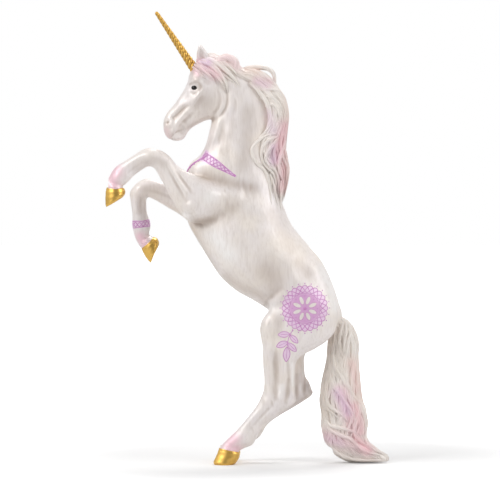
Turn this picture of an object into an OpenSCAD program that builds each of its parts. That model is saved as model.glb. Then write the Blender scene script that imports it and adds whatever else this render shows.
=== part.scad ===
// A rearing unicorn figurine, moulded in pieces that plug together and are glued.
// It stands on its two hind hooves and its tail, and faces -X with its left side towards -Y.
// Outlines are pairs of points read from a side view, in pixels of that picture, with Y down.
// Each piece scales its own outline to its own named length, from the place where it is fixed.

/* [Trunk] */
// Distance from the hip to the middle of the collar
trunk_length = 58.4; // [54:0.2:63]
// Widest part of the barrel, side to side
trunk_width = 25; // [21:0.5:29]
// Width of the collar seam, where the neck seats
collar_width = 15.6; // [13:0.2:18]

/* [Neck and head] */
// Distance from the collar to the seat of the head
neck_length = 34.4; // [31:0.2:38]
// Distance from the seat of the head to the muzzle
head_length = 27.4; // [25:0.2:30]
// Width of the head across the brow
head_width = 11; // [9.5:0.1:12.5]
// Length of an ear
ear_length = 5.2; // [4.2:0.1:6.4]
// Width of an ear, side to side
ear_width = 2.6; // [2:0.1:3.4]
// Distance between the tips of the ears
ear_spread = 6.4; // [5:0.2:7.6]
// Diameter of an eye bead
eye_d = 3; // [2.4:0.1:3.6]
// How far an eye bead stands out of the head
eye_proud = 0.55; // [0.3:0.05:0.8]

/* [Horn] */
// Length of the horn from the brow to its tip
horn_length = 25; // [18:0.2:32]
// Diameter of the horn at the brow
horn_base_d = 4.1; // [3.4:0.1:5]
// Diameter of the horn's blunt tip
horn_tip_d = 1.2; // [0.8:0.1:1.8]
// Turns of the spiral along the horn
horn_turns = 7; // [4:1:9]
// Depth of the spiral's groove at the brow
horn_groove = 0.42; // [0.2:0.02:0.6]

/* [Forelegs] */
// Distance from the shoulder to the coronet of the raised left foreleg
left_foreleg_reach = 34.4; // [31:0.2:37]
// Distance from the shoulder to the coronet of the right foreleg
right_foreleg_reach = 27.2; // [25:0.2:29]
// Width of a foreleg at the forearm, side to side
foreleg_width = 8.4; // [7.4:0.1:9.6]
// How far the outside of a foreleg lies in from the widest part of the barrel
foreleg_inset = 0.6; // [0:0.1:1.2]
// Length of the left fore hoof from the coronet to the toe
left_fore_hoof_length = 7.4; // [6.6:0.1:8.4]
// Length of the right fore hoof, which is tucked under
right_fore_hoof_length = 6.5; // [5.8:0.1:7.4]

/* [Hind legs] */
// Distance from the coronet of a hind hoof to the hip
hind_leg_length = 62.8; // [58:0.2:68]
// Width of a hind leg at the thigh, side to side
hind_leg_width = 11.4; // [10:0.2:13]
// How far the outside of a thigh stands out past the widest part of the barrel
thigh_proud = 0; // [0:0.1:0.8]
// Height of a hind hoof
hind_hoof_h = 5; // [4:0.1:6.5]
// Width of a hoof at the ground
hoof_width = 8.4; // [7.4:0.1:9.4]

/* [Hair] */
// Width of the tail, side to side
tail_width = 12.4; // [10:0.2:15]
// Width of the mane where the locks are fullest, side to side
mane_width = 9.6; // [8:0.2:12]
// Thickness of one lock of the mane
lock_thickness = 4.6; // [3.8:0.1:5.4]
// Depth of the grooves between hairs, as a share of a lock's radius
hair_groove_share = 0.1; // [0.02:0.01:0.16]

/* [Pegs and sockets] */
// Diameter of the neck's peg in the trunk
neck_peg_d = 6; // [5:0.2:7]
// Length of the neck's peg
neck_peg_length = 6; // [4:0.2:8]
// Diameter of the head's peg on the neck
head_peg_d = 4; // [3:0.2:4.6]
// Length of the head's peg past the saddle of the neck
head_peg_length = 4; // [2.6:0.2:5]
// Diameter of a leg's peg in the trunk
leg_peg_d = 4.6; // [3.6:0.2:5.4]
// Length of a leg's peg
leg_peg_length = 7.2; // [6.2:0.2:8]
// Thickness left over the outer end of that peg, at the outside of the leg
leg_peg_cover = 2; // [1.4:0.1:2.6]
// Diameter of the tail's peg
tail_peg_d = 4; // [3:0.2:4.6]
// Length of the tail's peg
tail_peg_length = 5; // [3:0.2:6]
// Diameter of the peg under the horn, and of the pins under the hair
small_peg_d = 2; // [1.4:0.1:2.4]
// Length of those small pegs
small_peg_length = 2.6; // [1.8:0.1:3.2]
// Diameter of a fore hoof's peg
hoof_peg_d = 3; // [2.2:0.1:3.4]
// Length of a fore hoof's peg
hoof_peg_length = 2.4; // [1.6:0.1:3]
// Diameter of the steel pin in each hind leg
pin_d = 1.6; // [1.2:0.1:2]
// How far that pin goes into the hoof
pin_in_hoof = 2.6; // [1.6:0.1:3]
// Gap left for glue between pieces, and round a peg
glue_gap = 0.06; // [0.04:0.01:0.1]

/* [Hidden] */
$fn = 48;
LEFT = -1;
RIGHT = 1;

// Distances between the middles of the forelegs and of the hind legs
foreleg_spacing = trunk_width - foreleg_width - 2 * foreleg_inset;
hind_leg_spacing = trunk_width - hind_leg_width + 2 * thigh_proud;

pearl = "#e9e2de";
cream = "#eeddd4";
gold = "#d4a63a";
black = "#15110f";
steel = "#a9adb2";

// Where the pieces meet, in pixels of the side view
hind_coronet_px = [229, 450.4];
hip_px = [303, 303];
collar_px = [231, 167];
head_seat_px = [214, 78];
muzzle_px = [171, 136];
shoulder_px = [205, 202];
left_fore_coronet_px = [115.8, 187.4];
right_fore_coronet_px = [147.4, 244.1];
dock_px = [342, 322];
ground_px = 463.5;

// Outlines: each row is the point on the under or front side, then the point on the top or back side.
// The shares beside them are side-to-side widths, row by row.
trunk_px = [
    [[333, 331], [341, 323]], [[325, 339], [342, 313]], [[311, 341], [339, 303]], [[291, 334], [333, 285]],
    [[270, 318], [322, 262]], [[254, 299], [308, 245]], [[237, 291], [297, 232]], [[221, 277], [290, 222]],
    [[209, 259], [285, 210]], [[198, 241], [281, 199]], [[188, 222], [278, 189]], [[184, 198], [276, 179]],
    [[188.5, 167], [273.5, 167]]];
trunk_width_shares = [0.14, 0.46, 0.72, 0.88, 0.95, 0.98, 1, 0.98, 0.93, 0.87, 0.8, 0.73];

neck_px = [
    [[188.5, 167], [273.5, 167]], [[200, 155], [272.5, 155]], [[206, 144], [271.5, 142]],
    [[209, 133], [270.5, 129]], [[211.5, 122], [268.5, 115]], [[212, 110], [264.5, 101]],
    [[211, 99], [257, 88]], [[207, 88], [245, 76]], [[203, 79], [230, 67]]];
neck_width_shares = [1, 0.86, 0.77, 0.71, 0.67, 0.64, 0.62, 0.57, 0.4];

head_px = [
    [[204, 55.5], [213, 57]], [[199, 59], [222, 66]], [[194.5, 66], [228, 81]], [[190, 73], [228.5, 95]],
    [[188, 81], [223, 109]], [[184, 90], [214, 118]], [[178.5, 98.5], [204.5, 121.5]],
    [[173, 106], [196.5, 125.5]], [[167.5, 112.5], [190.5, 129.5]], [[164, 119.5], [186.5, 134.5]],
    [[163.6, 128], [184, 138.6]], [[165.5, 135], [179.5, 140.6]], [[169, 138.8], [175, 140.8]]];
head_width_shares = [0.3, 0.66, 0.84, 0.95, 1, 0.94, 0.8, 0.66, 0.58, 0.6, 0.64, 0.5, 0.2];

left_foreleg_px = [
    [[224, 214], [222, 184]], [[206, 225], [212, 178]], [[191, 223], [198, 173.5]], [[178, 209], [185, 170]],
    [[167, 189], [176.5, 163.5]], [[160.5, 176.5], [170, 155.5]], [[155.5, 168.5], [161, 149.6]],
    [[151.5, 165.8], [150.5, 147.2]], [[146.5, 166.5], [142, 149.6]], [[140, 170.5], [133, 155.5]],
    [[133.5, 175.5], [124, 161]], [[129.5, 180], [116.5, 166]], [[126, 183.4], [111.6, 172.6]],
    [[123.2, 185.4], [108.8, 180]], [[124.6, 187.8], [107, 187]]];
left_foreleg_width_shares = [
    0.5, 0.92, 1, 0.95, 0.84, 0.76, 0.74, 0.78, 0.7, 0.6, 0.6, 0.7, 0.68, 0.64, 0.76];

right_foreleg_px = [
    [[222, 218], [218, 190]], [[206, 226], [206, 186]], [[190, 223], [192, 184.5]], [[178, 214.5], [180, 184.5]],
    [[167, 208], [170, 184]], [[157, 202], [161, 182]], [[150.5, 198.8], [152, 179.4]],
    [[147.6, 198], [143, 180]], [[146.4, 199.4], [136, 185.4]], [[146, 202], [131, 193.5]],
    [[146, 206.5], [130.6, 203]], [[146.6, 213.5], [131.8, 213]], [[149.2, 221.5], [132, 222]],
    [[150, 228.5], [132.6, 230.4]], [[148.6, 234], [135, 239]], [[150, 237], [138, 245]],
    [[153.6, 238.4], [141.2, 249.8]]];
right_foreleg_width_shares = [
    0.5, 0.88, 0.98, 0.95, 0.86, 0.78, 0.74, 0.76, 0.78, 0.7, 0.62, 0.6, 0.68, 0.72, 0.66, 0.66, 0.76];

left_hind_leg_px = [
    [[292, 276], [322, 286]], [[277, 291], [337, 301]], [[268, 305], [341, 314]], [[262, 317], [338.5, 328]],
    [[260, 328], [327, 338]], [[261, 338], [313, 346.5]], [[262.5, 346], [303, 352]], [[263, 355], [297, 359]],
    [[263.5, 366], [294.5, 368]], [[264.5, 378], [294, 379.5]], [[264, 387], [294.5, 391]],
    [[261, 396], [295, 401]], [[256.5, 404.5], [284, 410]], [[251, 412], [268.5, 420.5]],
    [[245, 419.5], [259.5, 429.5]], [[238.5, 427], [256, 437.5]], [[232, 433.8], [252, 444]],
    [[226, 439.6], [246, 448]], [[221.4, 444.6], [240.5, 450.4]], [[218.4, 448.8], [239.6, 452]]];
right_hind_leg_px = [
    [[296, 276], [323, 286]], [[283, 291], [336.5, 301]], [[276, 305], [340, 314]], [[272, 317], [337.5, 328]],
    [[270.5, 328], [328.5, 337.5]], [[271, 338], [318, 345]], [[272, 346], [309.5, 351]], [[273, 355], [304.5, 359]],
    [[274, 366], [304.3, 368]], [[276, 378], [306.4, 379]], [[277, 387], [311, 389]],
    [[275, 396], [312.5, 396.5]], [[268, 405], [297, 407.5]], [[260, 412.5], [280, 417.5]],
    [[253, 419.8], [269, 425.5]], [[245, 427], [262.5, 433.5]], [[237, 434.2], [257, 440]],
    [[229.5, 440.4], [250, 445.5]], [[223.6, 445.4], [243, 449.6]], [[220.4, 449.4], [241.6, 452.4]]];
hind_leg_width_shares = [
    0.5, 0.84, 0.98, 1, 0.98, 0.9, 0.8, 0.7, 0.62, 0.56, 0.54, 0.54, 0.48, 0.42, 0.42, 0.5, 0.52, 0.48, 0.5, 0.6];

// Hooves: from the coronet to the edge of the sole
left_fore_hoof_px = [
    [[124.6, 187.8], [107, 187]], [[126.4, 190.8], [105, 192.6]], [[126.2, 192.8], [105.6, 206.6]]];
right_fore_hoof_px = [
    [[153.6, 238.4], [141.2, 249.8]], [[157.6, 239.8], [143.4, 254.4]], [[159, 245], [151, 263.6]]];
left_hind_hoof_px = [
    [[218.4, 448.8], [239.6, 452]], [[215.6, 455.6], [240, 457]], [[213, ground_px], [237.6, ground_px]]];
right_hind_hoof_px = [
    [[220.4, 449.4], [241.6, 452.4]], [[217.6, 456], [242, 457.4]], [[215, ground_px], [239.6, ground_px]]];
hoof_width_shares = [0.8, 0.94, 1];

tail_px = [
    [[334, 329], [341, 315]], [[332.5, 335], [349, 321]], [[329.5, 341], [356, 331]], [[327.4, 350], [359.2, 343]],
    [[326.4, 361], [359, 357]], [[323.5, 374], [359.6, 370]], [[321, 388], [361, 385]], [[319.8, 400], [362.8, 399]],
    [[321.4, 412], [366.8, 411]], [[321.4, 424], [368.4, 422]], [[324, 435], [367, 434]],
    [[326.4, 444], [370.6, 443]], [[333, 453], [380.5, 450.6]], [[343, 460.5], [390.4, 457.6]],
    [[350, 466], [389, 462.6]]];
tail_width_shares = [0.36, 0.56, 0.74, 0.8, 0.82, 0.88, 0.96, 1, 0.98, 0.94, 0.96, 1, 0.9, 0.66, 0.44];

// The mass of the mane: points on the crest side, then on the free side
mane_px = [
    [[214, 70], [216, 58.5]], [[221, 73], [224, 57.5]], [[230, 78], [233, 59]], [[239, 83], [243, 68]],
    [[247, 89], [254, 75.5]], [[254, 97], [267, 81]], [[258.5, 106], [279, 89]], [[262, 115], [286, 100]],
    [[264, 125], [289, 115]], [[260, 134], [288, 130]], [[256, 144], [287, 144]], [[255, 155], [287.5, 156]],
    [[258, 165], [290, 168]], [[263, 175], [289, 179]], [[269, 186], [287, 189]], [[271.5, 197], [285, 199]],
    [[275, 207], [282.6, 207.5]]];
mane_width_shares = [
    0.4, 0.62, 0.74, 0.8, 0.84, 0.9, 0.96, 1, 1, 1, 1, 0.98, 0.94, 0.86, 0.74, 0.56, 0.2];

// Locks of hair: points along the middle of each lock
tuft_px = [[203, 62], [208, 60], [214, 60.5], [220, 63], [226, 67], [232, 72]];
forelock_px = [[197.5, 62], [203.5, 62.5], [211, 66], [218, 72.5], [223, 81], [226, 90], [226.5, 98]];
crown_lock_px = [[220, 64], [226, 61.5], [232, 64], [237.5, 71], [245, 75.5], [253, 80], [260, 88]];
curl_px = [[238, 74], [244, 71.5], [251, 69.6], [259, 69], [266.5, 70.5], [272, 75], [273.5, 82], [275, 89]];
side_lock_px = [[248, 84], [257, 91], [266, 99], [274, 110], [279, 123], [279.5, 136], [275, 147]];
under_lock_px = [[250, 91], [258, 101], [264, 111], [268, 122], [268, 133], [262, 141], [258, 149]];
fall_lock_px = [
    [271, 116], [268, 126], [262, 136], [256.5, 145], [255, 154], [259, 164], [266, 174], [271, 185],
    [274, 196], [277, 207]];
// How far each lock lies to the side along its way, as shares of the mane's half width
tuft_side_shares = [0, 0, 0, 0, 0, 0];
forelock_side_shares = [0.22, 0.56, 0.82, 0.92, 0.96, 1, 1];
crown_side_shares = [0.3, 0.44, 0.5, 0.5, 0.5, 0.56, 0.5];
curl_side_shares = [0.1, 0.1, 0.1, 0.1, 0.1, 0.1, 0.1, 0.1];
side_lock_side_shares = [0.5, 0.66, 0.76, 0.8, 0.8, 0.76, 0.7];
under_side_shares = [0.7, 0.84, 0.8, 0.7, 0.76, 0.96, 1.06];
fall_side_shares = [0.3, 0.5, 0.7, 0.7, 0.7, 0.7, 0.7, 0.5, 0.3, 0.1];
// A lock is this much of its thickness at its root and at its tip, and is full this far along its way
root_share = 0.6;
tip_share = 0.16;
swell_share = 0.3;
// The slim locks' thickness, and how broad the tuft at the poll is for its thickness
slim_share = 0.72;
tuft_breadth_share = 1.7;

// Pins and sockets, in pixels of the side view: a seat, then a point that the pin points at
neck_peg_px = [collar_px, [231, 190]];
shoulder_peg_px = [203, 204];
hip_peg_px = [301, 317];
head_peg_px = [[228.5, 91], [205, 92]];
horn_seat_px = [193.5, 67];
horn_tip_px = [156, 12];
mane_pins_px = [[[247, 80], [237, 93]], [[267, 110], [251, 117]], [[272.6, 155], [257, 155]]];
forelock_pin_px = [[212.5, 58.5], [209.5, 71]];
tail_peg_px = [[339, 322], [326, 308]];
eye_px = [194.6, 87.4];
ear_base_px = [202, 58];
ear_tip_px = [199.6, 44.6];
ear_px = [[[200, 66], [209, 64]], [[197.6, 60], [207, 58]], [[197.4, 53.6], [205.4, 52.4]],
    [[198.2, 48], [202.4, 47.4]], [[199.2, 44.8], [200, 44.4]]];
ear_width_shares = [0.8, 1, 0.96, 0.6, 0.12];
ear_side_shares = [0.44, 0.6, 0.82, 0.96, 1];
left_hoof_peg_px = [left_fore_coronet_px, [115.2, 199]];
right_hoof_peg_px = [right_fore_coronet_px, [155, 254]];
left_pin_px = [[229, 450.4], [275, 402]];
right_pin_px = [[231, 450.9], [289, 400]];

// The head is this share of its half width at the eyes
eye_side_share = 0.8;
// The belly is fuller than the back
belly_share = 0.1;
// The horn is carried this share of its length into the brow before it is trimmed
horn_root_share = 0.12;
// Ripples of hair round a lock and round the tail, and how far they wind along it
lock_ripples = 5;
mane_ripples = 6;
tail_ripples = 7;
lock_twist = 120;
tail_twist = 70;

// Steps between rows, and sides round a ring
body_steps = 2;
leg_steps = 1;
lock_steps = 2;
tail_steps = 3;
body_sides = 28;
leg_sides = 16;
lock_sides = 10;
mane_sides = 24;
tail_sides = 28;
horn_sides = 10;
steps_per_turn = 6;

function last(rows) = rows[len(rows) - 1];
function after_first(rows) = [for (i = [1 : len(rows) - 1]) rows[i]];

// A frame carries a pixel of the side view to its place: [pixel, place, millimetres per pixel]
function place(frame, px) = [
    frame[1][0] + (px[0] - frame[0][0]) * frame[2], frame[1][1] + (frame[0][1] - px[1]) * frame[2]];
function frame_at(px, at, length, far_px) = [px, at, length / norm(far_px - px)];

// The chain of pieces, from the ground up
hoof_frame = [hind_coronet_px, [0, hind_hoof_h], hind_hoof_h / (ground_px - hind_coronet_px[1])];
hind_frame = frame_at(hind_coronet_px, [0, hind_hoof_h], hind_leg_length, hip_px);
trunk_frame = frame_at(hip_px, place(hind_frame, hip_px), trunk_length, collar_px);
neck_frame = frame_at(collar_px, place(trunk_frame, collar_px), neck_length, head_seat_px);
head_frame = frame_at(head_seat_px, place(neck_frame, head_seat_px), head_length, muzzle_px);
ear_frame = frame_at(ear_base_px, place(head_frame, ear_base_px), ear_length, ear_tip_px);
left_fore_frame = frame_at(shoulder_px, place(trunk_frame, shoulder_px), left_foreleg_reach, left_fore_coronet_px);
right_fore_frame = frame_at(
    shoulder_px, place(trunk_frame, shoulder_px), right_foreleg_reach, right_fore_coronet_px);
left_fore_hoof_frame = frame_at(left_fore_coronet_px, place(left_fore_frame, left_fore_coronet_px),
    left_fore_hoof_length, left_fore_coronet_px + last(left_fore_hoof_px)[1] - left_fore_hoof_px[0][1]);
right_fore_hoof_frame = frame_at(right_fore_coronet_px, place(right_fore_frame, right_fore_coronet_px),
    right_fore_hoof_length, right_fore_coronet_px + last(right_fore_hoof_px)[1] - right_fore_hoof_px[0][1]);
tail_frame = [
    dock_px, place(trunk_frame, dock_px), place(trunk_frame, dock_px)[1] / (ground_px - dock_px[1])];

// Points between rows b and c, on a curve through all four
function between(a, b, c, d, t) =
    (2 * b + (c - a) * t + (2 * a - 5 * b + 4 * c - d) * t * t + (3 * b - a - 3 * c + d) * t * t * t) / 2;
function smooth(rows, steps) = [
    for (i = [0 : len(rows) - 2])
        for (k = [0 : steps - 1])
            between(rows[max(i - 1, 0)], rows[i], rows[i + 1], rows[min(i + 2, len(rows) - 1)], k / steps),
    last(rows)];

// An outline placed in the model, in rows of [under point, top point, [half width, side]]
function placed(frame, outline, shares, width, side = 0) = [
    for (i = [0 : len(outline) - 1])
        [place(frame, outline[i][0]), place(frame, outline[i][1]), [shares[i] * width / 2, side]]];

// A lock's rows lie square to its path, swelling from its root and closing to its tip
function swell(t) = tip_share + (1 - tip_share) * (1 - t * t * t)
    * (root_share + (1 - root_share) * min(t / swell_share, 1));
function lock_rows(frame, path, side_shares, thickness, side, breadth_share) =
    let (end = len(path) - 1)
    [for (i = [0 : end])
        let (way = place(frame, path[min(i + 1, end)]) - place(frame, path[max(i - 1, 0)]),
             half = thickness * swell(i / end) / 2,
             reach = [-way[1], way[0]] / norm(way) * half)
        [place(frame, path[i]) - reach, place(frame, path[i]) + reach,
            [half * breadth_share, side * side_shares[i] * mane_width / 2]]];

// Which way round a stack of rings is wound, so that its skin faces outward
function winding(rows) =
    let (k = floor(len(rows) / 2), way = rows[k][0] + rows[k][1] - rows[k - 1][0] - rows[k - 1][1],
         reach = rows[k][1] - rows[k][0])
    sign(reach[1] * way[0] - reach[0] * way[1]);

// One ring of a skin. fullness swells its under side, and ripples groove it like hair.
function ring(row, sides, turn, grow, fullness, ripples, phase) =
    let (centre = (row[0] + row[1]) / 2, reach = (row[1] - row[0]) / 2)
    [for (i = [0 : sides - 1])
        let (a = turn * 360 * i / sides,
             dip = ripples == 0 ? 1 : 1 + hair_groove_share * cos(ripples * a + phase),
             along = (norm(reach) * dip + grow) * cos(a) / norm(reach),
             across = (row[2][0] * dip + grow) * sin(a) * (1 - fullness * cos(a)))
        [centre[0] + reach[0] * along, row[2][1] + across, centre[1] + reach[1] * along]];

// A closed skin over a stack of rings
module closed_skin(rings) {
    n = len(rings[0]);
    m = len(rings);
    polyhedron(
        points = [for (r = rings) each r],
        faces = [
            [for (i = [0 : n - 1]) n - 1 - i],
            for (k = [0 : m - 2]) for (i = [0 : n - 1])
                let (a = k * n + i, b = k * n + (i + 1) % n)
                each [[a, b, a + n], [b, b + n, a + n]],
            [for (i = [0 : n - 1]) (m - 1) * n + i]]);
}
module skin(rows, sides, steps, grow = 0, fullness = 0, ripples = 0, twist = 0) {
    fine = smooth(rows, steps);
    closed_skin([
        for (k = [0 : len(fine) - 1])
            ring(fine[k], sides, winding(rows), grow, fullness, ripples, twist * k / len(fine))]);
}

// One closed skin from several that run into each other
module one_skin() resize([0, 0, 0]) union() children();

// A round dowel that starts behind a seat and goes through it, this far towards another place
module dowel(frame, seat_and_aim_px, d, length, behind, side = 0, gap = 0) {
    seat = place(frame, seat_and_aim_px[0]);
    way = place(frame, seat_and_aim_px[1]) - seat;
    translate([seat[0], side, seat[1]]) rotate([0, atan2(way[0], way[1]), 0])
        translate([0, 0, -behind]) cylinder(d = d + 2 * gap, h = behind + length + gap);
}

// A round dowel across the figure, from the flesh of a leg in to the trunk
module side_dowel(at, d, length, spacing, width, side, gap = 0)
    translate([at[0], side * ((spacing + width) / 2 - leg_peg_cover), at[1]])
        rotate([side * 90, 0, 0]) cylinder(d = d + 2 * gap, h = length + gap);

// A straight pin up a hind leg, from inside the hoof to the hock
module leg_pin(path_px, side, gap = 0) {
    foot = place(hind_frame, path_px[0]);
    way = place(hind_frame, path_px[1]) - foot;
    translate([foot[0], side * hind_leg_spacing / 2, foot[1]]) rotate([0, atan2(way[0], way[1]), 0])
        translate([0, 0, -pin_in_hoof - gap]) cylinder(d = pin_d + 2 * gap, h = norm(way) + pin_in_hoof + 2 * gap);
}

trunk_rows = placed(trunk_frame, trunk_px, [each trunk_width_shares, collar_width / trunk_width], trunk_width);
neck_rows = [last(trunk_rows), each after_first(placed(neck_frame, neck_px, neck_width_shares, collar_width))];
head_rows = placed(head_frame, head_px, head_width_shares, head_width);
left_foreleg_rows = placed(left_fore_frame, left_foreleg_px, left_foreleg_width_shares, foreleg_width,
    LEFT * foreleg_spacing / 2);
right_foreleg_rows = placed(right_fore_frame, right_foreleg_px, right_foreleg_width_shares, foreleg_width,
    RIGHT * foreleg_spacing / 2);
left_hind_rows = placed(hind_frame, left_hind_leg_px, hind_leg_width_shares, hind_leg_width,
    LEFT * hind_leg_spacing / 2);
right_hind_rows = placed(hind_frame, right_hind_leg_px, hind_leg_width_shares, hind_leg_width,
    RIGHT * hind_leg_spacing / 2);
tail_rows = placed(tail_frame, tail_px, tail_width_shares, tail_width);

// A hoof takes its top ring from the leg that it is pegged to
function hoof_rows(frame, outline, leg_rows, side) = [
    last(leg_rows), each after_first(placed(frame, outline, hoof_width_shares, hoof_width, side))];
left_fore_hoof_rows = hoof_rows(
    left_fore_hoof_frame, left_fore_hoof_px, left_foreleg_rows, LEFT * foreleg_spacing / 2);
right_fore_hoof_rows = hoof_rows(
    right_fore_hoof_frame, right_fore_hoof_px, right_foreleg_rows, RIGHT * foreleg_spacing / 2);
left_hind_hoof_rows = hoof_rows(hoof_frame, left_hind_hoof_px, left_hind_rows, LEFT * hind_leg_spacing / 2);
right_hind_hoof_rows = hoof_rows(hoof_frame, right_hind_hoof_px, right_hind_rows, RIGHT * hind_leg_spacing / 2);

// The figure stands with the middle of its length over the origin
front_x = min([for (row = left_fore_hoof_rows) row[1][0]]);
back_x = max([for (row = tail_rows) row[1][0]]);
module standing() translate([-(front_x + back_x) / 2, 0, 0]) children();

module trunk_skin(grow = 0) skin(trunk_rows, body_sides, body_steps, grow, belly_share);
module neck_skin(grow = 0) skin(neck_rows, body_sides, body_steps, grow);
module ear_skin(side, grow) {
    rows = placed(ear_frame, ear_px, ear_width_shares, ear_width);
    skin([for (i = [0 : len(rows) - 1]) [rows[i][0], rows[i][1],
        [rows[i][2][0], side * ear_side_shares[i] * ear_spread / 2]]], lock_sides, body_steps, grow);
}
module head_skin(grow = 0) {
    skin(head_rows, leg_sides, body_steps, grow);
    ear_skin(LEFT, grow);
    ear_skin(RIGHT, grow);
}
module lock(frame, path, side_shares, thickness, side, breadth_share = 1) skin(
    lock_rows(frame, path, side_shares, thickness, side, breadth_share), lock_sides, lock_steps,
    ripples = lock_ripples, twist = side * lock_twist);
module forelock_skin() {
    lock(head_frame, tuft_px, tuft_side_shares, lock_thickness, RIGHT, tuft_breadth_share);
    for (side = [LEFT, RIGHT])
        lock(head_frame, forelock_px, forelock_side_shares, lock_thickness, side);
}
module mane_skin() {
    skin(placed(neck_frame, mane_px, mane_width_shares, mane_width), mane_sides, lock_steps,
        ripples = mane_ripples, twist = lock_twist);
    lock(neck_frame, curl_px, curl_side_shares, lock_thickness * slim_share, LEFT);
    for (side = [LEFT, RIGHT]) {
        lock(neck_frame, crown_lock_px, crown_side_shares, lock_thickness, side);
        lock(neck_frame, side_lock_px, side_lock_side_shares, lock_thickness, side);
        lock(neck_frame, under_lock_px, under_side_shares, lock_thickness * slim_share, side);
        lock(neck_frame, fall_lock_px, fall_side_shares, lock_thickness, side);
    }
}
module horn_skin(grow = 0) {
    seat = place(head_frame, horn_seat_px);
    way = place(head_frame, horn_tip_px) - seat;
    steps = horn_turns * steps_per_turn;
    translate([seat[0], 0, seat[1]]) rotate([0, atan2(way[0], way[1]), 0]) closed_skin([
        for (k = [-1 : steps])
            let (t = k < 0 ? -horn_root_share : k / steps, taper = 1 - max(t, 0))
            [for (i = [0 : horn_sides - 1])
                let (a = -360 * i / horn_sides,
                     dip = horn_groove * taper * (1 - cos(a + 360 * horn_turns * t)) / 2,
                     r = horn_tip_d / 2 + (horn_base_d - horn_tip_d) / 2 * taper - dip + grow)
                [r * cos(a), r * sin(a), horn_length * t]]]);
}

// Pegs and pins, each drawn with a gap where it is a socket
module neck_peg(gap = 0) dowel(
    trunk_frame, neck_peg_px, neck_peg_d, neck_peg_length, neck_peg_length, gap = gap);
module head_peg(gap = 0) dowel(
    head_frame, head_peg_px, head_peg_d, head_peg_length, head_peg_length, gap = gap);
module horn_peg(gap = 0) dowel(
    head_frame, [horn_seat_px, 2 * horn_seat_px - horn_tip_px], small_peg_d, small_peg_length, small_peg_length,
    gap = gap);
module tail_peg(gap = 0) dowel(
    trunk_frame, tail_peg_px, tail_peg_d, tail_peg_length, tail_peg_length, gap = gap);
module forelock_pin(gap = 0) dowel(
    head_frame, forelock_pin_px, small_peg_d, small_peg_length, small_peg_d / 2, gap = gap);
module mane_pins(gap = 0) for (pin = mane_pins_px)
    dowel(neck_frame, pin, small_peg_d, small_peg_length, small_peg_length, gap = gap);
module foreleg_peg(side, gap = 0) side_dowel(
    place(trunk_frame, shoulder_peg_px), leg_peg_d, leg_peg_length, foreleg_spacing, foreleg_width, side, gap);
module hind_leg_peg(side, gap = 0) side_dowel(
    place(trunk_frame, hip_peg_px), leg_peg_d, leg_peg_length, hind_leg_spacing, hind_leg_width, side, gap);
module left_hoof_peg(gap = 0) dowel(
    left_fore_frame, left_hoof_peg_px, hoof_peg_d, hoof_peg_length, hoof_peg_length,
    LEFT * foreleg_spacing / 2, gap);
module right_hoof_peg(gap = 0) dowel(
    right_fore_frame, right_hoof_peg_px, hoof_peg_d, hoof_peg_length, hoof_peg_length,
    RIGHT * foreleg_spacing / 2, gap);
module left_pin(gap = 0) leg_pin(left_pin_px, LEFT, gap);
module right_pin(gap = 0) leg_pin(right_pin_px, RIGHT, gap);
module eye_bead(side, gap = 0) {
    at = place(head_frame, eye_px);
    translate([at[0], side * (head_width / 2 * eye_side_share + eye_proud - eye_d / 2), at[1]])
        sphere(d = eye_d + 2 * gap);
}

// A leg is trimmed where it lies against the trunk
module leg_skin(rows) one_skin() difference() {
    skin(rows, leg_sides, leg_steps);
    trunk_skin(glue_gap);
}

module trunk() color(pearl) difference() {
    trunk_skin();
    neck_peg(glue_gap);
    tail_peg(glue_gap);
    for (side = [LEFT, RIGHT]) {
        foreleg_peg(side, glue_gap);
        hind_leg_peg(side, glue_gap);
    }
}

module neck() color(pearl) difference() {
    union() {
        one_skin() difference() {
            neck_skin();
            head_skin(glue_gap);
        }
        neck_peg();
        head_peg();
    }
    mane_pins(glue_gap);
}

module head() color(pearl) difference() {
    one_skin() head_skin();
    head_peg(glue_gap);
    horn_peg(glue_gap);
    forelock_pin(glue_gap);
    eye_bead(LEFT, glue_gap);
    eye_bead(RIGHT, glue_gap);
}

module horn() color(gold) {
    one_skin() difference() {
        horn_skin();
        head_skin(glue_gap);
    }
    horn_peg();
}

module forelock() color(cream) {
    one_skin() difference() {
        forelock_skin();
        head_skin(glue_gap);
        neck_skin(glue_gap);
        horn_skin(glue_gap);
    }
    forelock_pin();
}
module mane() color(cream) {
    one_skin() difference() {
        mane_skin();
        forelock_skin();
        head_skin(glue_gap);
        neck_skin(glue_gap);
        trunk_skin(glue_gap);
    }
    mane_pins();
}

module tail() color(cream) {
    one_skin() difference() {
        skin(tail_rows, tail_sides, tail_steps, ripples = tail_ripples, twist = tail_twist);
        trunk_skin(glue_gap);
        skin(left_hind_rows, leg_sides, leg_steps, glue_gap);
        skin(right_hind_rows, leg_sides, leg_steps, glue_gap);
        translate([0, -tail_width, -tail_width]) cube([2 * trunk_length, 2 * tail_width, tail_width]);
    }
    tail_peg();
}

module left_foreleg() color(pearl) {
    leg_skin(left_foreleg_rows);
    foreleg_peg(LEFT);
    left_hoof_peg();
}
module right_foreleg() color(pearl) {
    leg_skin(right_foreleg_rows);
    foreleg_peg(RIGHT);
    right_hoof_peg();
}
module left_hind_leg() color(pearl) difference() {
    union() {
        leg_skin(left_hind_rows);
        hind_leg_peg(LEFT);
    }
    left_pin(glue_gap);
}
module right_hind_leg() color(pearl) difference() {
    union() {
        leg_skin(right_hind_rows);
        hind_leg_peg(RIGHT);
    }
    right_pin(glue_gap);
}

module hoof(rows) color(gold) difference() {
    skin(rows, leg_sides, body_steps);
    children();
}

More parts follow.
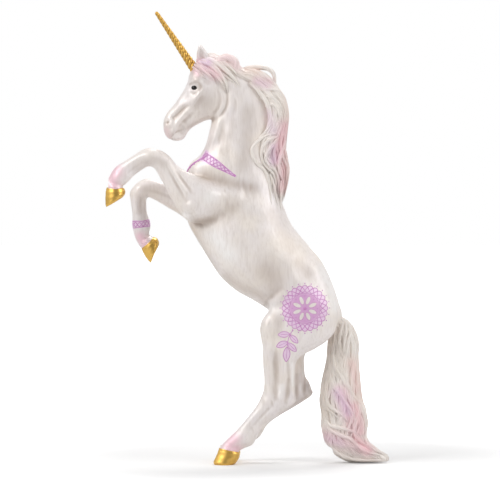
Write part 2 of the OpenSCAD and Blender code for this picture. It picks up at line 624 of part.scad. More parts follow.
standing() trunk();
standing() neck();
standing() head();
standing() color(black) eye_bead(LEFT);  // left_eye
standing() color(black) eye_bead(RIGHT);  // right_eye
standing() horn();
standing() forelock();
standing() mane();
standing() tail();
standing() left_foreleg();
standing() right_foreleg();
standing() left_hind_leg();
standing() right_hind_leg();
standing() hoof(left_fore_hoof_rows) left_hoof_peg(glue_gap);  // left_fore_hoof
standing() hoof(right_fore_hoof_rows) right_hoof_peg(glue_gap);  // right_fore_hoof
standing() hoof(left_hind_hoof_rows) left_pin(glue_gap);  // left_hind_hoof
standing() hoof(right_hind_hoof_rows) right_pin(glue_gap);  // right_hind_hoof
standing() color(steel) left_pin();  // left_leg_pin
standing() color(steel) right_pin();  // right_leg_pin
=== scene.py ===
import math

import bpy
import numpy as np
import openvdb as vdb
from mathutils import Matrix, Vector
from mathutils.bvhtree import BVHTree


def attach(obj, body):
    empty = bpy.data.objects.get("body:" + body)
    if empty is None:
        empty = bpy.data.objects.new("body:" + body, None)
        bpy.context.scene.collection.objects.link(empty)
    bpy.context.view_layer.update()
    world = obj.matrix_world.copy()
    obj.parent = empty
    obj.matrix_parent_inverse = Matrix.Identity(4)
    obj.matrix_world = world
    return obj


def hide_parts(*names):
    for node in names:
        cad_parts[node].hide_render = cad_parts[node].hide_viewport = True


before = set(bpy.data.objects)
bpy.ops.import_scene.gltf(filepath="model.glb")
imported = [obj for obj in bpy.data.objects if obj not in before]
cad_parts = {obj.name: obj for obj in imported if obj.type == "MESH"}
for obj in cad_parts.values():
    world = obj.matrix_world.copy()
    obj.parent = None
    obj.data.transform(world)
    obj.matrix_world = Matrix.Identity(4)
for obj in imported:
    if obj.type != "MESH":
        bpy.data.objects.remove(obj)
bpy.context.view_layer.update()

# Trunk and neck
# The body of a rearing unicorn figurine, cast in pearly white plastic in pieces that are glued.
# It is modelled as clay: smooth skins run together, and a tool draws the muscles and hollows.
# Places are read from a side view in pixels, with the figurine's left side towards the eye.
MM = 0.001
PIXEL_MM = 0.38
MIDDLE_PX = 248.2
GROUND_PX = 463.5
NEAR, FAR, BOTH = -1, 1, 0
BODY_CELL_MM = 0.305
BODY_LOW_MM = (-52.5, -14.0, 3.0)
BODY_HIGH_MM = (38.0, 14.0, 162.0)
SKIN_REACH_MM = 3.2

trunk_px = [
    [[333, 331], [341, 323]], [[325, 339], [342, 313]], [[311, 341], [339, 303]], [[291, 334], [333, 285]],
    [[271, 312.5], [322, 262]], [[254, 300.6], [308, 245]], [[237, 291], [297, 232]], [[221, 277], [290, 222]],
    [[209, 259], [285, 210]], [[198, 241], [281, 199]], [[188, 222], [278, 189]], [[184, 198], [276, 179]],
    [[188.5, 167], [273.5, 167]], [[200, 155], [272.5, 155]], [[206, 144], [271.5, 142]],
    [[209, 133], [271, 129]], [[211.5, 122], [270.5, 114.5]], [[212, 110], [268.5, 100.5]],
    [[211, 99], [262, 87]], [[207, 88], [249, 75.5]], [[203, 79], [231, 67]]]
trunk_half_mm = [
    1.8, 5.7, 8.8, 10.7, 11.6, 12.1, 12.4, 12.2, 11.6, 10.8, 9.8, 9.0,
    7.8, 6.8, 6.1, 5.6, 5.2, 5.0, 4.8, 4.3, 3.0]


def side_mm(px):
    """Where a pixel of the side view lies, in millimetres along the figurine and up."""
    px = np.asarray(px, dtype=float)
    return np.stack([(px[..., 0] - MIDDLE_PX) * PIXEL_MM, (GROUND_PX - px[..., 1]) * PIXEL_MM], axis=-1)


def eased(rows, steps):
    """More rows, on smooth curves through the given ones."""
    rows = np.asarray(rows, dtype=float)
    first = np.arange(len(rows) - 1)
    a, b, c, d = (rows[np.clip(first + k, 0, len(rows) - 1)][:, None] for k in (-1, 0, 1, 2))
    t = (np.arange(steps) / steps).reshape((1, steps) + (1,) * (rows.ndim - 1))
    fine = (2 * b + (c - a) * t + (2 * a - 5 * b + 4 * c - d) * t ** 2 + (3 * b - a - 3 * c + d) * t ** 3) / 2
    return np.concatenate([fine.reshape((-1,) + rows.shape[1:]), rows[-1:]])


def spine(outline_px, half_mm, steps):
    """Row by row: the middle of an outline, the way from there to its second edge, and half the width."""
    outline = eased(side_mm(outline_px), steps)
    return (outline[:, 0] + outline[:, 1]) / 2, (outline[:, 1] - outline[:, 0]) / 2, eased(half_mm, steps)


def full_turn(count):
    """Angles spaced evenly round a circle."""
    return np.arange(count) * 2 * math.pi / count


def ringed(centre, reach, half, middle=0.0, sides=48, fullness=0.0, square=2.0):
    """Rings round a spine. Fullness swells the under side; square flattens the sides."""
    turn = full_turn(sides)
    cos, sin = (np.sign(f) * np.abs(f) ** (2 / square) for f in (np.cos(turn), np.sin(turn)))
    along = centre[:, None] + reach[:, None] * cos[None, :, None]
    across = np.reshape(middle, (-1, 1)) + half[:, None] * (sin * (1 - fullness * np.cos(turn)))[None]
    return np.stack([along[..., 0], across, along[..., 1]], axis=-1)


def rings(outline_px, half_mm, middle_mm=0.0, steps=6, **section):
    """Rings of a skin round an outline in the side view."""
    centre, reach, half = spine(outline_px, half_mm, steps)
    return ringed(centre, reach, half, eased(np.broadcast_to(middle_mm, len(half_mm)), steps), **section)


def closed_skin(ring_points):
    """Points, four-sided faces and the two end fans of a skin over a stack of rings."""
    count, sides = ring_points.shape[:2]
    ends = ring_points[[0, -1]].mean(axis=1)
    points = np.concatenate([ring_points.reshape(-1, 3), ends])
    here = np.arange(sides)
    following = (here + 1) % sides
    row = (np.arange(count - 1) * sides)[:, None]
    quads = np.stack(
        [row + here, row + following, row + sides + following, row + sides + here], axis=-1).reshape(-1, 4)
    last = (count - 1) * sides
    first_fan = np.stack([np.full(sides, count * sides), following, here], axis=-1)
    last_fan = np.stack([np.full(sides, count * sides + 1), last + here, last + following], axis=-1)
    return points, quads, np.concatenate([first_fan, last_fan])


def blended(here, other, blend):
    """The lesser of two distances, rounded where they meet."""
    share = np.clip(0.5 + (here - other) / (2 * blend), 0, 1)
    return here + (other - here) * share - blend * share * (1 - share)


class Clay:
    """A block of distances from the surface, in millimetres, that a tool can add to and carve."""

    side_fade_mm = 1.2  # A mark kept to one side fades in over this depth
    stroke_reach = 2.4  # A stroke is felt this many widths away
    stroke_fade = 0.9  # The lower, the longer a stroke keeps its depth towards its ends
    melt_edge = 1.5  # Clay is melted in full over the inner third of the round, and less towards its edge
    comb_reach_mm = 1.3  # Hairs are combed into the clay this far from its skin
    hair_wave_mm = np.array([0.35, 0.0, 0.0])  # Hairs sway along the figurine only
    hair_wave_pace = (0.3, 0.4)  # Radians to the millimetre, across and up
    long_hair_share, fine_hair_share = 0.65, 0.35  # Fine hairs are half as wide and half as long

    def __init__(self, low, high, cell):
        self.cell = cell
        self.low = np.floor(np.array(low) / cell).astype(int)
        self.shape = np.ceil(np.array(high) / cell).astype(int) - self.low + 1
        self.depth = np.full(self.shape, SKIN_REACH_MM, dtype=np.float32)
        self.axes = [(self.low[k] + np.arange(self.shape[k])) * cell for k in range(3)]

    def window(self, low, high):
        """The slices of the block between two corners, and the coordinates there."""
        first = np.clip(np.floor(np.array(low) / self.cell).astype(int) - self.low, 0, self.shape - 1)
        last = np.clip(np.ceil(np.array(high) / self.cell).astype(int) - self.low + 1, 1, self.shape)
        slices = tuple(slice(a, b) for a, b in zip(first, last))
        return slices, [axis[piece].astype(np.float32) for axis, piece in zip(self.axes, slices)]

    def skin(self, ring_points):
        """The distances from a closed skin."""
        points, quads, triangles = closed_skin(ring_points)
        grid = vdb.FloatGrid.createLevelSetFromPolygons(
            points.astype(np.float32), triangles=triangles.astype(np.uint32), quads=quads.astype(np.uint32),
            transform=vdb.createLinearTransform(self.cell), halfWidth=SKIN_REACH_MM / self.cell)
        slices, _ = self.window(points.min(axis=0) - SKIN_REACH_MM, points.max(axis=0) + SKIN_REACH_MM)
        field = np.empty([s.stop - s.start for s in slices], dtype=np.float32)
        grid.copyToArray(field, ijk=tuple(int(s.start + low) for s, low in zip(slices, self.low)))
        return slices, field

    def ball(self, place_px, across_mm, radii_mm, turn=0.0):
        """The distances from an egg: along, across and up, turned in the side view by degrees."""
        x, z = side_mm(place_px)
        most = max(radii_mm) + SKIN_REACH_MM
        centre = np.array([x, across_mm, z])
        slices, (xs, ys, zs) = self.window(centre - most, centre + most)
        cos, sin = math.cos(math.radians(turn)), math.sin(math.radians(turn))
        dx, dz = (xs - x)[:, None, None], (zs - z)[None, None, :]
        u, v, w = dx * cos + dz * sin, (ys - across_mm)[None, :, None], dz * cos - dx * sin
        a, b, c = radii_mm
        near = np.sqrt((u / a) ** 2 + (v / b) ** 2 + (w / c) ** 2)
        slope = np.sqrt((u / a ** 2) ** 2 + (v / b ** 2) ** 2 + (w / c ** 2) ** 2) + 1e-6
        return slices, near * (near - 1) / slope

    def join(self, shape, blend):
        """Runs a shape into the clay, with the crease filled over this many millimetres."""
        slices, other = shape
        self.depth[slices] = blended(self.depth[slices], other, blend)

    def cut(self, shape, blend):
        """Takes a shape out of the clay, with its edge rounded over this many millimetres."""
        slices, other = shape
        self.depth[slices] = -blended(-self.depth[slices], other, blend)

    def _press(self, low, high, amount, side, inner):
        """Presses the clay in along the side view by an amount of (x, z), on one side or on both."""
        slices, (xs, ys, zs) = self.window((low[0], self.axes[1][0], low[1]), (high[0], self.axes[1][-1], high[1]))
        outward = np.abs(ys) if side == BOTH else ys * side
        weight = np.clip((outward - inner) / self.side_fade_mm, 0, 1)
        dx, dz = np.meshgrid(xs, zs, indexing="ij")
        self.depth[slices] += amount(dx, dz)[:, None, :] * (weight * weight * (3 - 2 * weight))[None, :, None]

    def stroke(self, path_px, width, depth, side=BOTH, inner=0.0, closed=False):
        """Draws the tool along a path: a groove, or a ridge where the depth is below zero."""
        path = eased(side_mm(path_px), 6)
        starts, ways = path[:-1], np.diff(path, axis=0)

        def amount(x, z):
            best = np.full(x.shape, 1e9)
            share = np.zeros(x.shape)
            for k, (start, way) in enumerate(zip(starts, ways)):
                t = np.clip(((x - start[0]) * way[0] + (z - start[1]) * way[1]) / (way @ way + 1e-9), 0, 1)
                gap = (x - start[0] - way[0] * t) ** 2 + (z - start[1] - way[1] * t) ** 2
                closer = gap < best
                best = np.where(closer, gap, best)
                share = np.where(closer, (k + t) / len(ways), share)
            fade = 1.0 if closed else np.sin(math.pi * share) ** self.stroke_fade
            return depth * np.exp(-best / width ** 2) * fade

        reach = self.stroke_reach * width
        self._press(path.min(axis=0) - reach, path.max(axis=0) + reach, amount, side, inner)

    def dent(self, place_px, radii_px, turn, depth, side=BOTH, inner=0.0):
        """Presses a soft oval hollow, or swells the clay where the depth is below zero."""
        x, z = side_mm(place_px)
        a, b = np.array(radii_px) * PIXEL_MM
        cos, sin = math.cos(math.radians(turn)), math.sin(math.radians(turn))

        def amount(xs, zs):
            dx, dz = xs - x, zs - z
            near = ((dx * cos + dz * sin) / a) ** 2 + ((dz * cos - dx * sin) / b) ** 2
            return depth * np.clip(1 - near, 0, 1) ** 2

        most = max(a, b)
        self._press((x - most, z - most), (x + most, z + most), amount, side, inner)

    def melt(self, place_px, radius_px, passes):
        """Rubs the clay smooth about a place in the side view, as a wet thumb does."""
        x, z = side_mm(place_px)
        reach = radius_px * PIXEL_MM
        slices, (xs, ys, zs) = self.window(
            (x - reach, self.axes[1][0], z - reach), (x + reach, self.axes[1][-1], z + reach))
        away = ((xs - x)[:, None, None] ** 2 + (zs - z)[None, None, :] ** 2) / reach ** 2
        share = np.clip(self.melt_edge - self.melt_edge * away, 0, 1)
        field = self.depth[slices]
        for _ in range(passes):
            field = field + (softened(field) - field) * share
        self.depth[slices] = field

    def comb(self, places_px, lattice_mm, height, rng):
        """Combs short upright hairs into the skin. A place is a pixel, a radius in pixels and a strength."""
        near = np.argwhere(np.abs(self.depth) < self.comb_reach_mm)
        points = (near + self.low) * self.cell
        flat = (points[:, [0, 2]] - side_mm((0, 0))) * np.array([1, -1]) / PIXEL_MM
        share = np.zeros(len(points))
        for place_px, radius_px, strength in places_px:
            away = ((flat - place_px) ** 2).sum(axis=1) / radius_px ** 2
            share = np.maximum(share, strength * np.exp(-away))
        pace_across, pace_up = self.hair_wave_pace
        waved = points + self.hair_wave_mm * np.sin(points[:, 2:] * pace_up + points[:, 1:2] * pace_across)
        low = np.floor(points.min(axis=0) / lattice_mm) - 2
        size = (np.ceil(points.max(axis=0) / lattice_mm) - low + 3).astype(int)
        coarse = sampled(rng.random(size), waved, low, lattice_mm)
        fine = sampled(rng.random(size * 2), waved, low * 2, np.array(lattice_mm) / 2)
        hairs = self.long_hair_share * coarse + self.fine_hair_share * fine - 0.5
        self.depth[tuple(near.T)] += (height * share * hairs).astype(np.float32)


def sampled(field, points, low, cell):
    """Values of a block at points, blended between its cells."""
    at = points / cell - low
    at = np.clip(at, 0, np.array(field.shape) - 1.001)
    base = at.astype(int)
    share = at - base
    total = 0.0
    for corner in np.ndindex(2, 2, 2):
        weight = np.prod(np.where(corner, share, 1 - share), axis=1)
        total = total + weight * field[tuple((base + corner).T)]
    return total


def softened(field):
    """Distances with the tool marks rubbed out."""
    for axis in range(3):
        low = np.take(field, [0], axis)
        high = np.take(field, [-1], axis)
        before = np.concatenate([low, np.delete(field, -1, axis)], axis)
        after = np.concatenate([np.delete(field, 0, axis), high], axis)
        field = 0.5 * field + 0.25 * (before + after)
    return field


body = Clay(BODY_LOW_MM, BODY_HIGH_MM, BODY_CELL_MM)
trunk_skin = body.skin(rings(trunk_px, trunk_half_mm, sides=64, steps=8, fullness=0.1))
body.join(trunk_skin, blend=0.01)

# Hind legs
# The two legs that the figurine stands on, of the same plastic, each on a steel pin from its hoof.
# The thigh runs into the rump; grooves part the muscles above the hock and the tendons below it.
HIND_MIDDLE_MM = 6.8
FAR_HIND_SHIFT_PX = np.array([9.0, 0.0])
FETLOCK_SHIFT_SHARE = 0.4
FEATHER_MM, FEATHER_SLANT, FEATHER_TURN = (1.7, 2.0, 1.1), -62, 10
left_hind_px = [
    [[296, 280], [318, 288]], [[284, 292], [331, 301]], [[270.6, 306], [336, 313]], [[263.5, 317], [335.6, 328.4]],
    [[260, 328], [327, 340]], [[261, 338], [314, 348.6]], [[262.5, 346], [303.6, 353.6]], [[263, 355], [297, 359]],
    [[263.5, 366], [294.5, 368]], [[264.5, 378], [294, 379.5]], [[264, 387], [294.5, 391]],
    [[261, 396], [295, 401]], [[256.5, 404.5], [284, 410]], [[251, 412], [268.5, 420.5]],
    [[245, 419.5], [259.5, 429.5]], [[238.5, 427], [256, 437.5]], [[232, 433.8], [252, 444]],
    [[226, 439.6], [245, 446.8]], [[221.4, 444.6], [239.4, 450]], [[218.4, 448.6], [238.6, 452.6]],
    [[217.6, 450.4], [238.4, 453.8]]]
right_hind_px = [
    [[300, 280], [319, 288]], [[290, 292], [331, 301]], [[282, 306], [335, 313]], [[274, 317], [334.6, 328]],
    [[270.5, 328], [328, 339]], [[271, 338], [317.6, 346.6]], [[272, 346], [308.6, 352]], [[273, 355], [304.5, 359]],
    [[274, 366], [304.3, 368]], [[276, 378], [306.4, 379]], [[277, 387], [311, 389]],
    [[275, 396], [312.5, 396.5]], [[268, 405], [297, 407.5]], [[260, 412.5], [280, 417.5]],
    [[253, 419.8], [269, 425.5]], [[245, 427], [262.5, 433.5]], [[237, 434.2], [257, 440]],
    [[229.5, 440.4], [247.6, 445.5]], [[223.6, 445.4], [240.6, 449.4]], [[220.4, 449.4], [239, 452.8]],
    [[219.6, 451], [238.8, 454]]]
hind_half_mm = [
    2.4, 4.4, 5.2, 5.4, 5.4, 5.0, 4.5, 3.9, 3.5, 3.2, 3.1, 3.1, 2.75, 2.4, 2.4, 2.8, 2.95, 2.75, 2.85, 3.3, 3.4]

hind_skins = {}
for side, outline_px in ((NEAR, left_hind_px), (FAR, right_hind_px)):
    hind_skins[side] = body.skin(rings(outline_px, hind_half_mm, side * HIND_MIDDLE_MM, sides=40))
    body.join(hind_skins[side], blend=1.6)
body.melt((300, 304), radius_px=34, passes=20)

for side, shift in ((NEAR, np.zeros(2)), (FAR, FAR_HIND_SHIFT_PX)):
    for path_px, width, depth in (
            ([(271, 334), (273.6, 348), (275.4, 364), (276, 380), (275, 394)], 1.6, 0.7),
            ([(264.4, 344), (266.4, 358), (267, 374), (266.4, 388)], 1.5, -0.5),
            ([(285.6, 356), (288, 368), (289, 381), (288, 394), (284.4, 405)], 1.15, 0.5),
            ([(292, 354), (292.8, 368), (292.8, 384), (291.6, 399)], 1.0, -0.4),
            ([(281, 352), (282.6, 368), (283, 384), (281, 398)], 1.3, -0.5),
            ([(274.6, 398), (269, 406.4), (261.4, 415), (254, 423.4), (247.4, 431)], 0.9, 0.34),
            ([(264, 402), (256, 411.6), (248, 420.6), (240, 429)], 1.0, -0.32),
            ([(278, 406), (268.6, 413.4), (260, 421.4)], 0.8, -0.25),
            ([(221.4, 445.2), (229.4, 447.8), (238.8, 449.4)], 0.7, -0.3),
            ([(225, 441.8), (232.4, 445.2), (241, 447.4)], 0.7, 0.2)):
        body.stroke(np.array(path_px) + shift, width, depth, side, inner=HIND_MIDDLE_MM - 1)
    for place_px, radii_px, turn, depth in (
            ((265.6, 324), (7, 13), 0, -0.7), ((271, 350), (5, 11), 0, -0.35), ((268.6, 391), (6, 11), 15, -0.5),
            ((281.4, 396), (5, 9), 0, -0.5), ((288, 392), (4, 10), 0, 0.35), ((250, 437), (10, 7), 40, -0.4),
            ((276, 366), (7, 16), 0, 0.3), ((266, 400), (5, 9), 35, -0.5), ((277, 402), (5, 8), 30, -0.4)):
        body.dent(np.array(place_px) + shift, radii_px, turn, depth, side)
    low_shift = shift * FETLOCK_SHIFT_SHARE
    feather_px = np.array([(255.4, 428.4), (252.6, 432.6), (248.6, 436.6), (243.6, 440.2), (238, 443)]) + low_shift
    for k, place_px in enumerate(feather_px):
        slant = FEATHER_SLANT + FEATHER_TURN * k
        body.join(body.ball(place_px, side * HIND_MIDDLE_MM, FEATHER_MM, slant), blend=1.3)
    for path_px in (((252, 425), (253, 431), (249.6, 437)), ((247.6, 429.6), (248, 435.6), (243.6, 441))):
        body.stroke(np.array(path_px) + low_shift, 0.45, 0.22, side)

# The far leg shows behind the near one, so its own tendons are drawn on it
for path_px, width, depth in (
        ([(299.6, 352), (300.6, 366), (301.2, 380), (300.4, 396)], 1.1, -0.7),
        ([(303.6, 368), (305, 380), (304.6, 396)], 0.8, 0.4), ([(307, 376), (308.8, 386), (308.4, 397)], 0.9, -0.4)):
    body.stroke(path_px, width, depth, FAR)

# Forelegs
# The raised left foreleg and the folded right one, of the same plastic, plugged in at the shoulders.
# Long folds part the muscles of the upper arm, and the knees and fetlocks are rounded bones.
FORE_MIDDLE_MM = 7.7
left_fore_px = [
    [[224, 214], [220, 186]], [[206, 224], [212, 179.5]], [[191, 222], [198, 174.5]], [[178, 209], [185, 170]],
    [[167, 189], [176.5, 163.5]], [[160.5, 176.5], [170, 155.5]], [[155.5, 168.5], [161, 149.6]],
    [[151.5, 165.8], [150.5, 147.2]], [[146.5, 166.5], [142, 149.6]], [[140, 170.5], [133, 155.5]],
    [[133.5, 175.5], [124, 161]], [[129.5, 180], [116.5, 166]], [[126, 183.4], [111.6, 172.6]],
    [[123.2, 185.4], [107.8, 181]], [[124.6, 187.8], [107, 187]], [[124.8, 189.2], [106.8, 188.6]]]
left_fore_half_mm = [
    2.1, 3.9, 4.2, 4.0, 3.5, 3.2, 3.1, 3.3, 2.95, 2.5, 2.5, 2.95, 2.85, 2.7, 3.2, 3.2]
right_fore_px = [
    [[222, 218], [216, 191]], [[206, 225], [206, 187]], [[190, 222], [192, 184.5]], [[178, 214.5], [180, 184.5]],
    [[167, 208], [170, 184]], [[157, 202], [161, 182]], [[150.5, 198.8], [152, 179.4]],
    [[147.6, 198], [143, 180]], [[146.4, 199.4], [135, 186]], [[146, 202], [129.6, 192.6]],
    [[146, 206.5], [130.2, 201.6]], [[146.6, 213.5], [131.8, 213]], [[149.2, 221.5], [132, 222]],
    [[150, 228.5], [132.6, 230.4]], [[148.6, 234], [135, 239]], [[150, 237], [138, 245]],
    [[153.6, 238.4], [141.2, 249.8]], [[154.6, 239], [142.2, 251.2]]]
right_fore_half_mm = [
    2.1, 3.7, 4.1, 4.0, 3.6, 3.3, 3.1, 3.2, 3.3, 2.95, 2.6, 2.5, 2.85, 3.0, 2.8, 2.8, 3.2, 3.2]

fore_skins = {}
for side, outline_px, half_mm in ((NEAR, left_fore_px, left_fore_half_mm), (FAR, right_fore_px, right_fore_half_mm)):
    fore_skins[side] = body.skin(rings(outline_px, half_mm, side * FORE_MIDDLE_MM, sides=40))
    body.join(fore_skins[side], blend=1.5)
body.melt((221, 201), radius_px=24, passes=45)

for path_px, width, depth in (
        ([(163, 157), (169.4, 168), (176.4, 181), (182.6, 193), (187.6, 203)], 1.1, 0.62),
        ([(171, 163), (178, 173), (186.6, 184), (195, 195)], 1.0, 0.5),
        ([(167.6, 160), (174, 171.6), (181.4, 184), (188, 196)], 0.9, -0.45),
        ([(158.6, 164), (165, 175), (172.4, 189), (180, 202)], 1.2, -0.4),
        ([(176, 164), (186, 175), (196, 184), (206, 190)], 1.3, -0.35),
        ([(178, 206), (186, 212), (194, 212)], 1.0, 0.35),
        ([(152, 158.6), (143, 162), (134, 167.4), (126.6, 173)], 1.3, 0.4),
        ([(150, 151), (141, 154.6), (132, 160), (124, 166)], 1.0, -0.3),
        ([(146, 164.4), (138, 169), (131, 174.6), (126, 180)], 0.8, -0.3),
        ([(107.6, 184.8), (115, 185.4), (123, 185.4)], 0.7, -0.3),
        ([(110, 181.6), (116, 182.2), (122, 182.4)], 0.7, 0.2)):
    body.stroke(path_px, width, depth, NEAR, inner=3.0)
for path_px, width, depth in (
        ([(146, 191), (156, 193), (168, 197), (180, 203)], 1.2, 0.45),
        ([(146, 184), (158, 186), (170, 190), (182, 196)], 1.2, -0.3),
        ([(136, 192), (135.6, 204), (136.6, 216)], 0.9, -0.35),
        ([(141, 196), (140.6, 206), (141.6, 217)], 1.0, 0.45),
        ([(140.4, 246.6), (146.6, 242), (152, 237.6)], 0.7, -0.3),
        ([(138, 243.4), (143.6, 239), (148.6, 235.4)], 0.7, 0.2)):
    body.stroke(path_px, width, depth, FAR, inner=3.0)
for place_px, radii_px, turn, depth, side in (
        ((148.6, 155.6), (10, 8), 0, -0.45, NEAR), ((118.6, 177), (7, 7), 0, -0.35, NEAR),
        ((191.4, 205), (7, 8), -30, -0.75, NEAR), ((138, 189), (8, 9), 0, -0.45, FAR),
        ((142, 226.6), (8, 6), 0, -0.35, FAR)):
    body.dent(place_px, radii_px, turn, depth, side, inner=3.0)

# Head and ears
# The head, with its ears, bowed in to the chest and glued over the end of the neck.
# Flat round cheeks, a brow over each eye, a long nose and soft nostrils, as on a real horse.
head_px = [
    [[204, 55.5], [213, 57]], [[199, 59], [222, 66]], [[194.5, 66], [228, 81]], [[190, 73], [228, 95]],
    [[188, 81], [222.5, 108.5]], [[184, 90], [214, 117.6]], [[178.5, 98.5], [204.5, 121]],
    [[173, 106], [196.5, 125]], [[167.5, 112.5], [190.5, 129.2]], [[164, 119.5], [186.5, 134.5]],
    [[163.6, 128], [184, 138.6]], [[165.5, 135], [179.5, 140.6]], [[169, 138.8], [175, 140.8]]]
head_half_mm = [1.7, 3.6, 4.6, 5.2, 5.3, 4.9, 4.2, 3.5, 3.05, 3.1, 3.25, 2.6, 1.1]
EYE_PX = (195.0, 87.6)
EYE_RADIUS_MM = 1.5
EYE_MIDDLE_MM = 3.45
LID_PX = (3.7, 2.8)
NOSTRIL_PX, NOSTRIL_MIDDLE_MM = (167.6, 122.6), 3.1
NOSTRIL_MM, NOSTRIL_SLANT = (0.95, 0.8, 0.5), 62

head_skin = body.skin(rings(head_px, head_half_mm, fullness=0.12, square=2.3))
body.join(head_skin, blend=0.9)

ear_px = [[[199.6, 66], [210.6, 64]], [[197, 60], [209.6, 58]], [[196.8, 53.6], [206.8, 52]],
          [[198, 48.4], [203.2, 47]], [[199.2, 44.4], [200.2, 44]]]
shell_px = [[[198.8, 60.6], [205.4, 59.8]], [[198.1, 55], [204.4, 54]], [[199, 49], [201.8, 48.6]]]
for side in (NEAR, FAR):
    ear = rings(ear_px, [1.05, 1.35, 1.35, 1.0, 0.35], side * np.array([1.4, 1.9, 2.6, 3.05, 3.2]), sides=24)
    shell = rings(shell_px, [0.7, 0.95, 0.45], side * np.array([2.9, 3.6, 4.1]), sides=16)
    body.join(body.skin(ear), blend=0.5)
    body.cut(body.skin(shell), blend=0.35)

for path_px, width, depth in (
        ([(189.4, 84), (193, 81), (198, 80.4), (203, 83)], 0.65, -0.6),
        ([(186.8, 79.4), (193, 76.4), (201, 77)], 1.0, -0.3),
        ([(198.8, 82.8), (201, 86), (201, 91)], 0.5, 0.35),
        ([(189.6, 91.6), (194, 94), (199, 92.6)], 0.45, 0.25),
        ([(201, 91), (196.2, 98), (190.6, 106)], 0.75, -0.75),
        ([(204.6, 95), (199.6, 103), (194, 111.4)], 1.4, 0.42),
        ([(195.6, 94), (191.8, 99.4), (188, 105)], 0.6, -0.3),
        ([(189, 103.6), (183.6, 108.8), (178.6, 113.6), (172.6, 119)], 0.85, 0.5),
        ([(194.4, 105.6), (187.6, 111), (181.6, 117.6), (176.6, 124), (173.6, 131), (173.2, 135)], 0.95, -0.8),
        ([(196, 110.6), (188.4, 118), (181.6, 123.4)], 0.95, 0.3),
        ([(182, 121.4), (185, 126), (186.4, 131), (185.2, 136)], 0.6, -0.4),
        ([(169.8, 142), (171.4, 136.8), (175, 132.8), (180, 130.4), (185.6, 129)], 0.4, 0.42),
        ([(172.4, 127), (172.8, 123), (170.8, 119), (167, 117.4)], 0.55, -0.4),
        ([(217.4, 86), (222.4, 92), (224, 100), (222.6, 107), (218.4, 113), (211, 118)], 0.8, -0.5),
        ([(224.6, 84), (227.6, 94), (226.2, 106), (219.6, 116), (207, 123)], 1.1, 0.55),
        ([(229.4, 92), (230.4, 103), (228.4, 115)], 0.9, -0.3),
        ([(220.6, 110), (218, 124), (213.6, 138), (207, 152)], 1.1, -0.45),
        ([(224.6, 108), (224.4, 124), (220, 140), (212, 156)], 1.7, 0.42),
        ([(234, 95), (235.6, 106), (233.6, 118)], 1.0, 0.3)):
    body.stroke(path_px, width, depth)
for place_px, radii_px, turn, depth in (
        ((195.4, 88), (8, 5.6), 0, 0.5), ((207, 82), (8, 6), -20, 0.4), ((209, 101), (17, 15), 0, -0.5),
        ((207.6, 100), (12, 11), 0, 0.45), ((181.6, 134), (5, 4), 0, 0.2), ((174, 117), (6, 4), 40, 0.25),
        ((169.4, 124), (5, 5), 0, -0.35), ((177, 138.4), (6, 3.4), 0, -0.35), ((185.6, 98), (4, 10), -35, 0.3)):
    body.dent(place_px, radii_px, turn, depth)
for side in (NEAR, FAR):
    body.cut(body.ball(NOSTRIL_PX, side * NOSTRIL_MIDDLE_MM, NOSTRIL_MM, NOSTRIL_SLANT), blend=0.5)
    lid_px = [(EYE_PX[0] + LID_PX[0] * math.cos(a), EYE_PX[1] + LID_PX[1] * math.sin(a))
              for a in np.linspace(0, 2 * math.pi, 17)]
    body.stroke(lid_px, 0.34, -0.22, side, closed=True)

# Muscles of the trunk
# The chest, shoulders, ribs, flanks and haunches, drawn in the clay after the limbs are on it,
# and a short upright fur combed over neck, shoulders and barrel.
for path_px, width, depth in (
        ([(196, 171), (210, 176.6), (226, 181.6), (242, 185), (262, 189)], 3.0, 0.85),
        ([(192, 183), (208, 187), (224, 192), (240, 198), (252, 206)], 2.8, -0.6),
        ([(189, 219), (198, 221), (206, 219.8), (212, 217.4)], 2.1, 0.9),
        ([(208, 219), (216, 215), (224, 210)], 2.8, 0.42),
        ([(218, 213), (228, 207), (240, 200)], 3.6, 0.24),
        ([(238, 206), (246, 194), (252, 182)], 2.2, 0.4),
        ([(262, 318), (265, 307), (269.6, 298), (276, 291), (284, 285)], 1.7, 0.75),
        ([(268.6, 311), (272.6, 303), (278.6, 296.6), (286, 291)], 1.7, -0.5),
        ([(330, 333), (318, 340), (305, 346), (295, 352)], 1.6, 0.5),
        ([(312, 256), (320, 272), (327, 290), (331, 308)], 2.4, -0.55)):
    body.stroke(path_px, width, depth)
for place_px, radii_px, turn, depth in (
        ((212, 199), (24, 15), -15, -0.6), ((224, 246), (24, 36), 24, -0.75), ((273, 277), (21, 25), 25, 1.35),
        ((303, 270), (12, 16), 25, 0.5), ((306, 309), (30, 27), 0, -0.55),
        ((271.6, 300.6), (6, 5), 0, -0.35), ((281, 321), (8, 11), 0, 0.45),
        ((244, 214), (26, 14), -20, 0.5), ((282, 338), (12, 16), 0, 0.4), ((246, 150), (18, 30), 0, -0.3),
        ((226, 148), (9, 22), 15, 0.35)):
    body.dent(place_px, radii_px, turn, depth)
breast_furrow_px = [
    [[182.2, 179], [184, 179]], [[181.6, 189], [185.6, 189.4]], [[181.2, 202], [186.2, 202]],
    [[181.4, 214], [184.8, 213]]]
body.cut(body.skin(rings(breast_furrow_px, [0.3, 0.8, 1.0, 0.4], sides=20)), blend=1.6)

FUR_LATTICE_MM = (0.85, 0.85, 5.5)
FUR_MM = 0.42
rng = np.random.default_rng(11)
body.comb([
    ((236, 182), 34, 1.0), ((238, 136), 34, 0.6), ((226, 236), 30, 0.9), ((254, 250), 36, 0.6),
    ((292, 288), 34, 0.35), ((278, 360), 26, 0.3), ((176, 186), 26, 0.25)], FUR_LATTICE_MM, FUR_MM, rng)

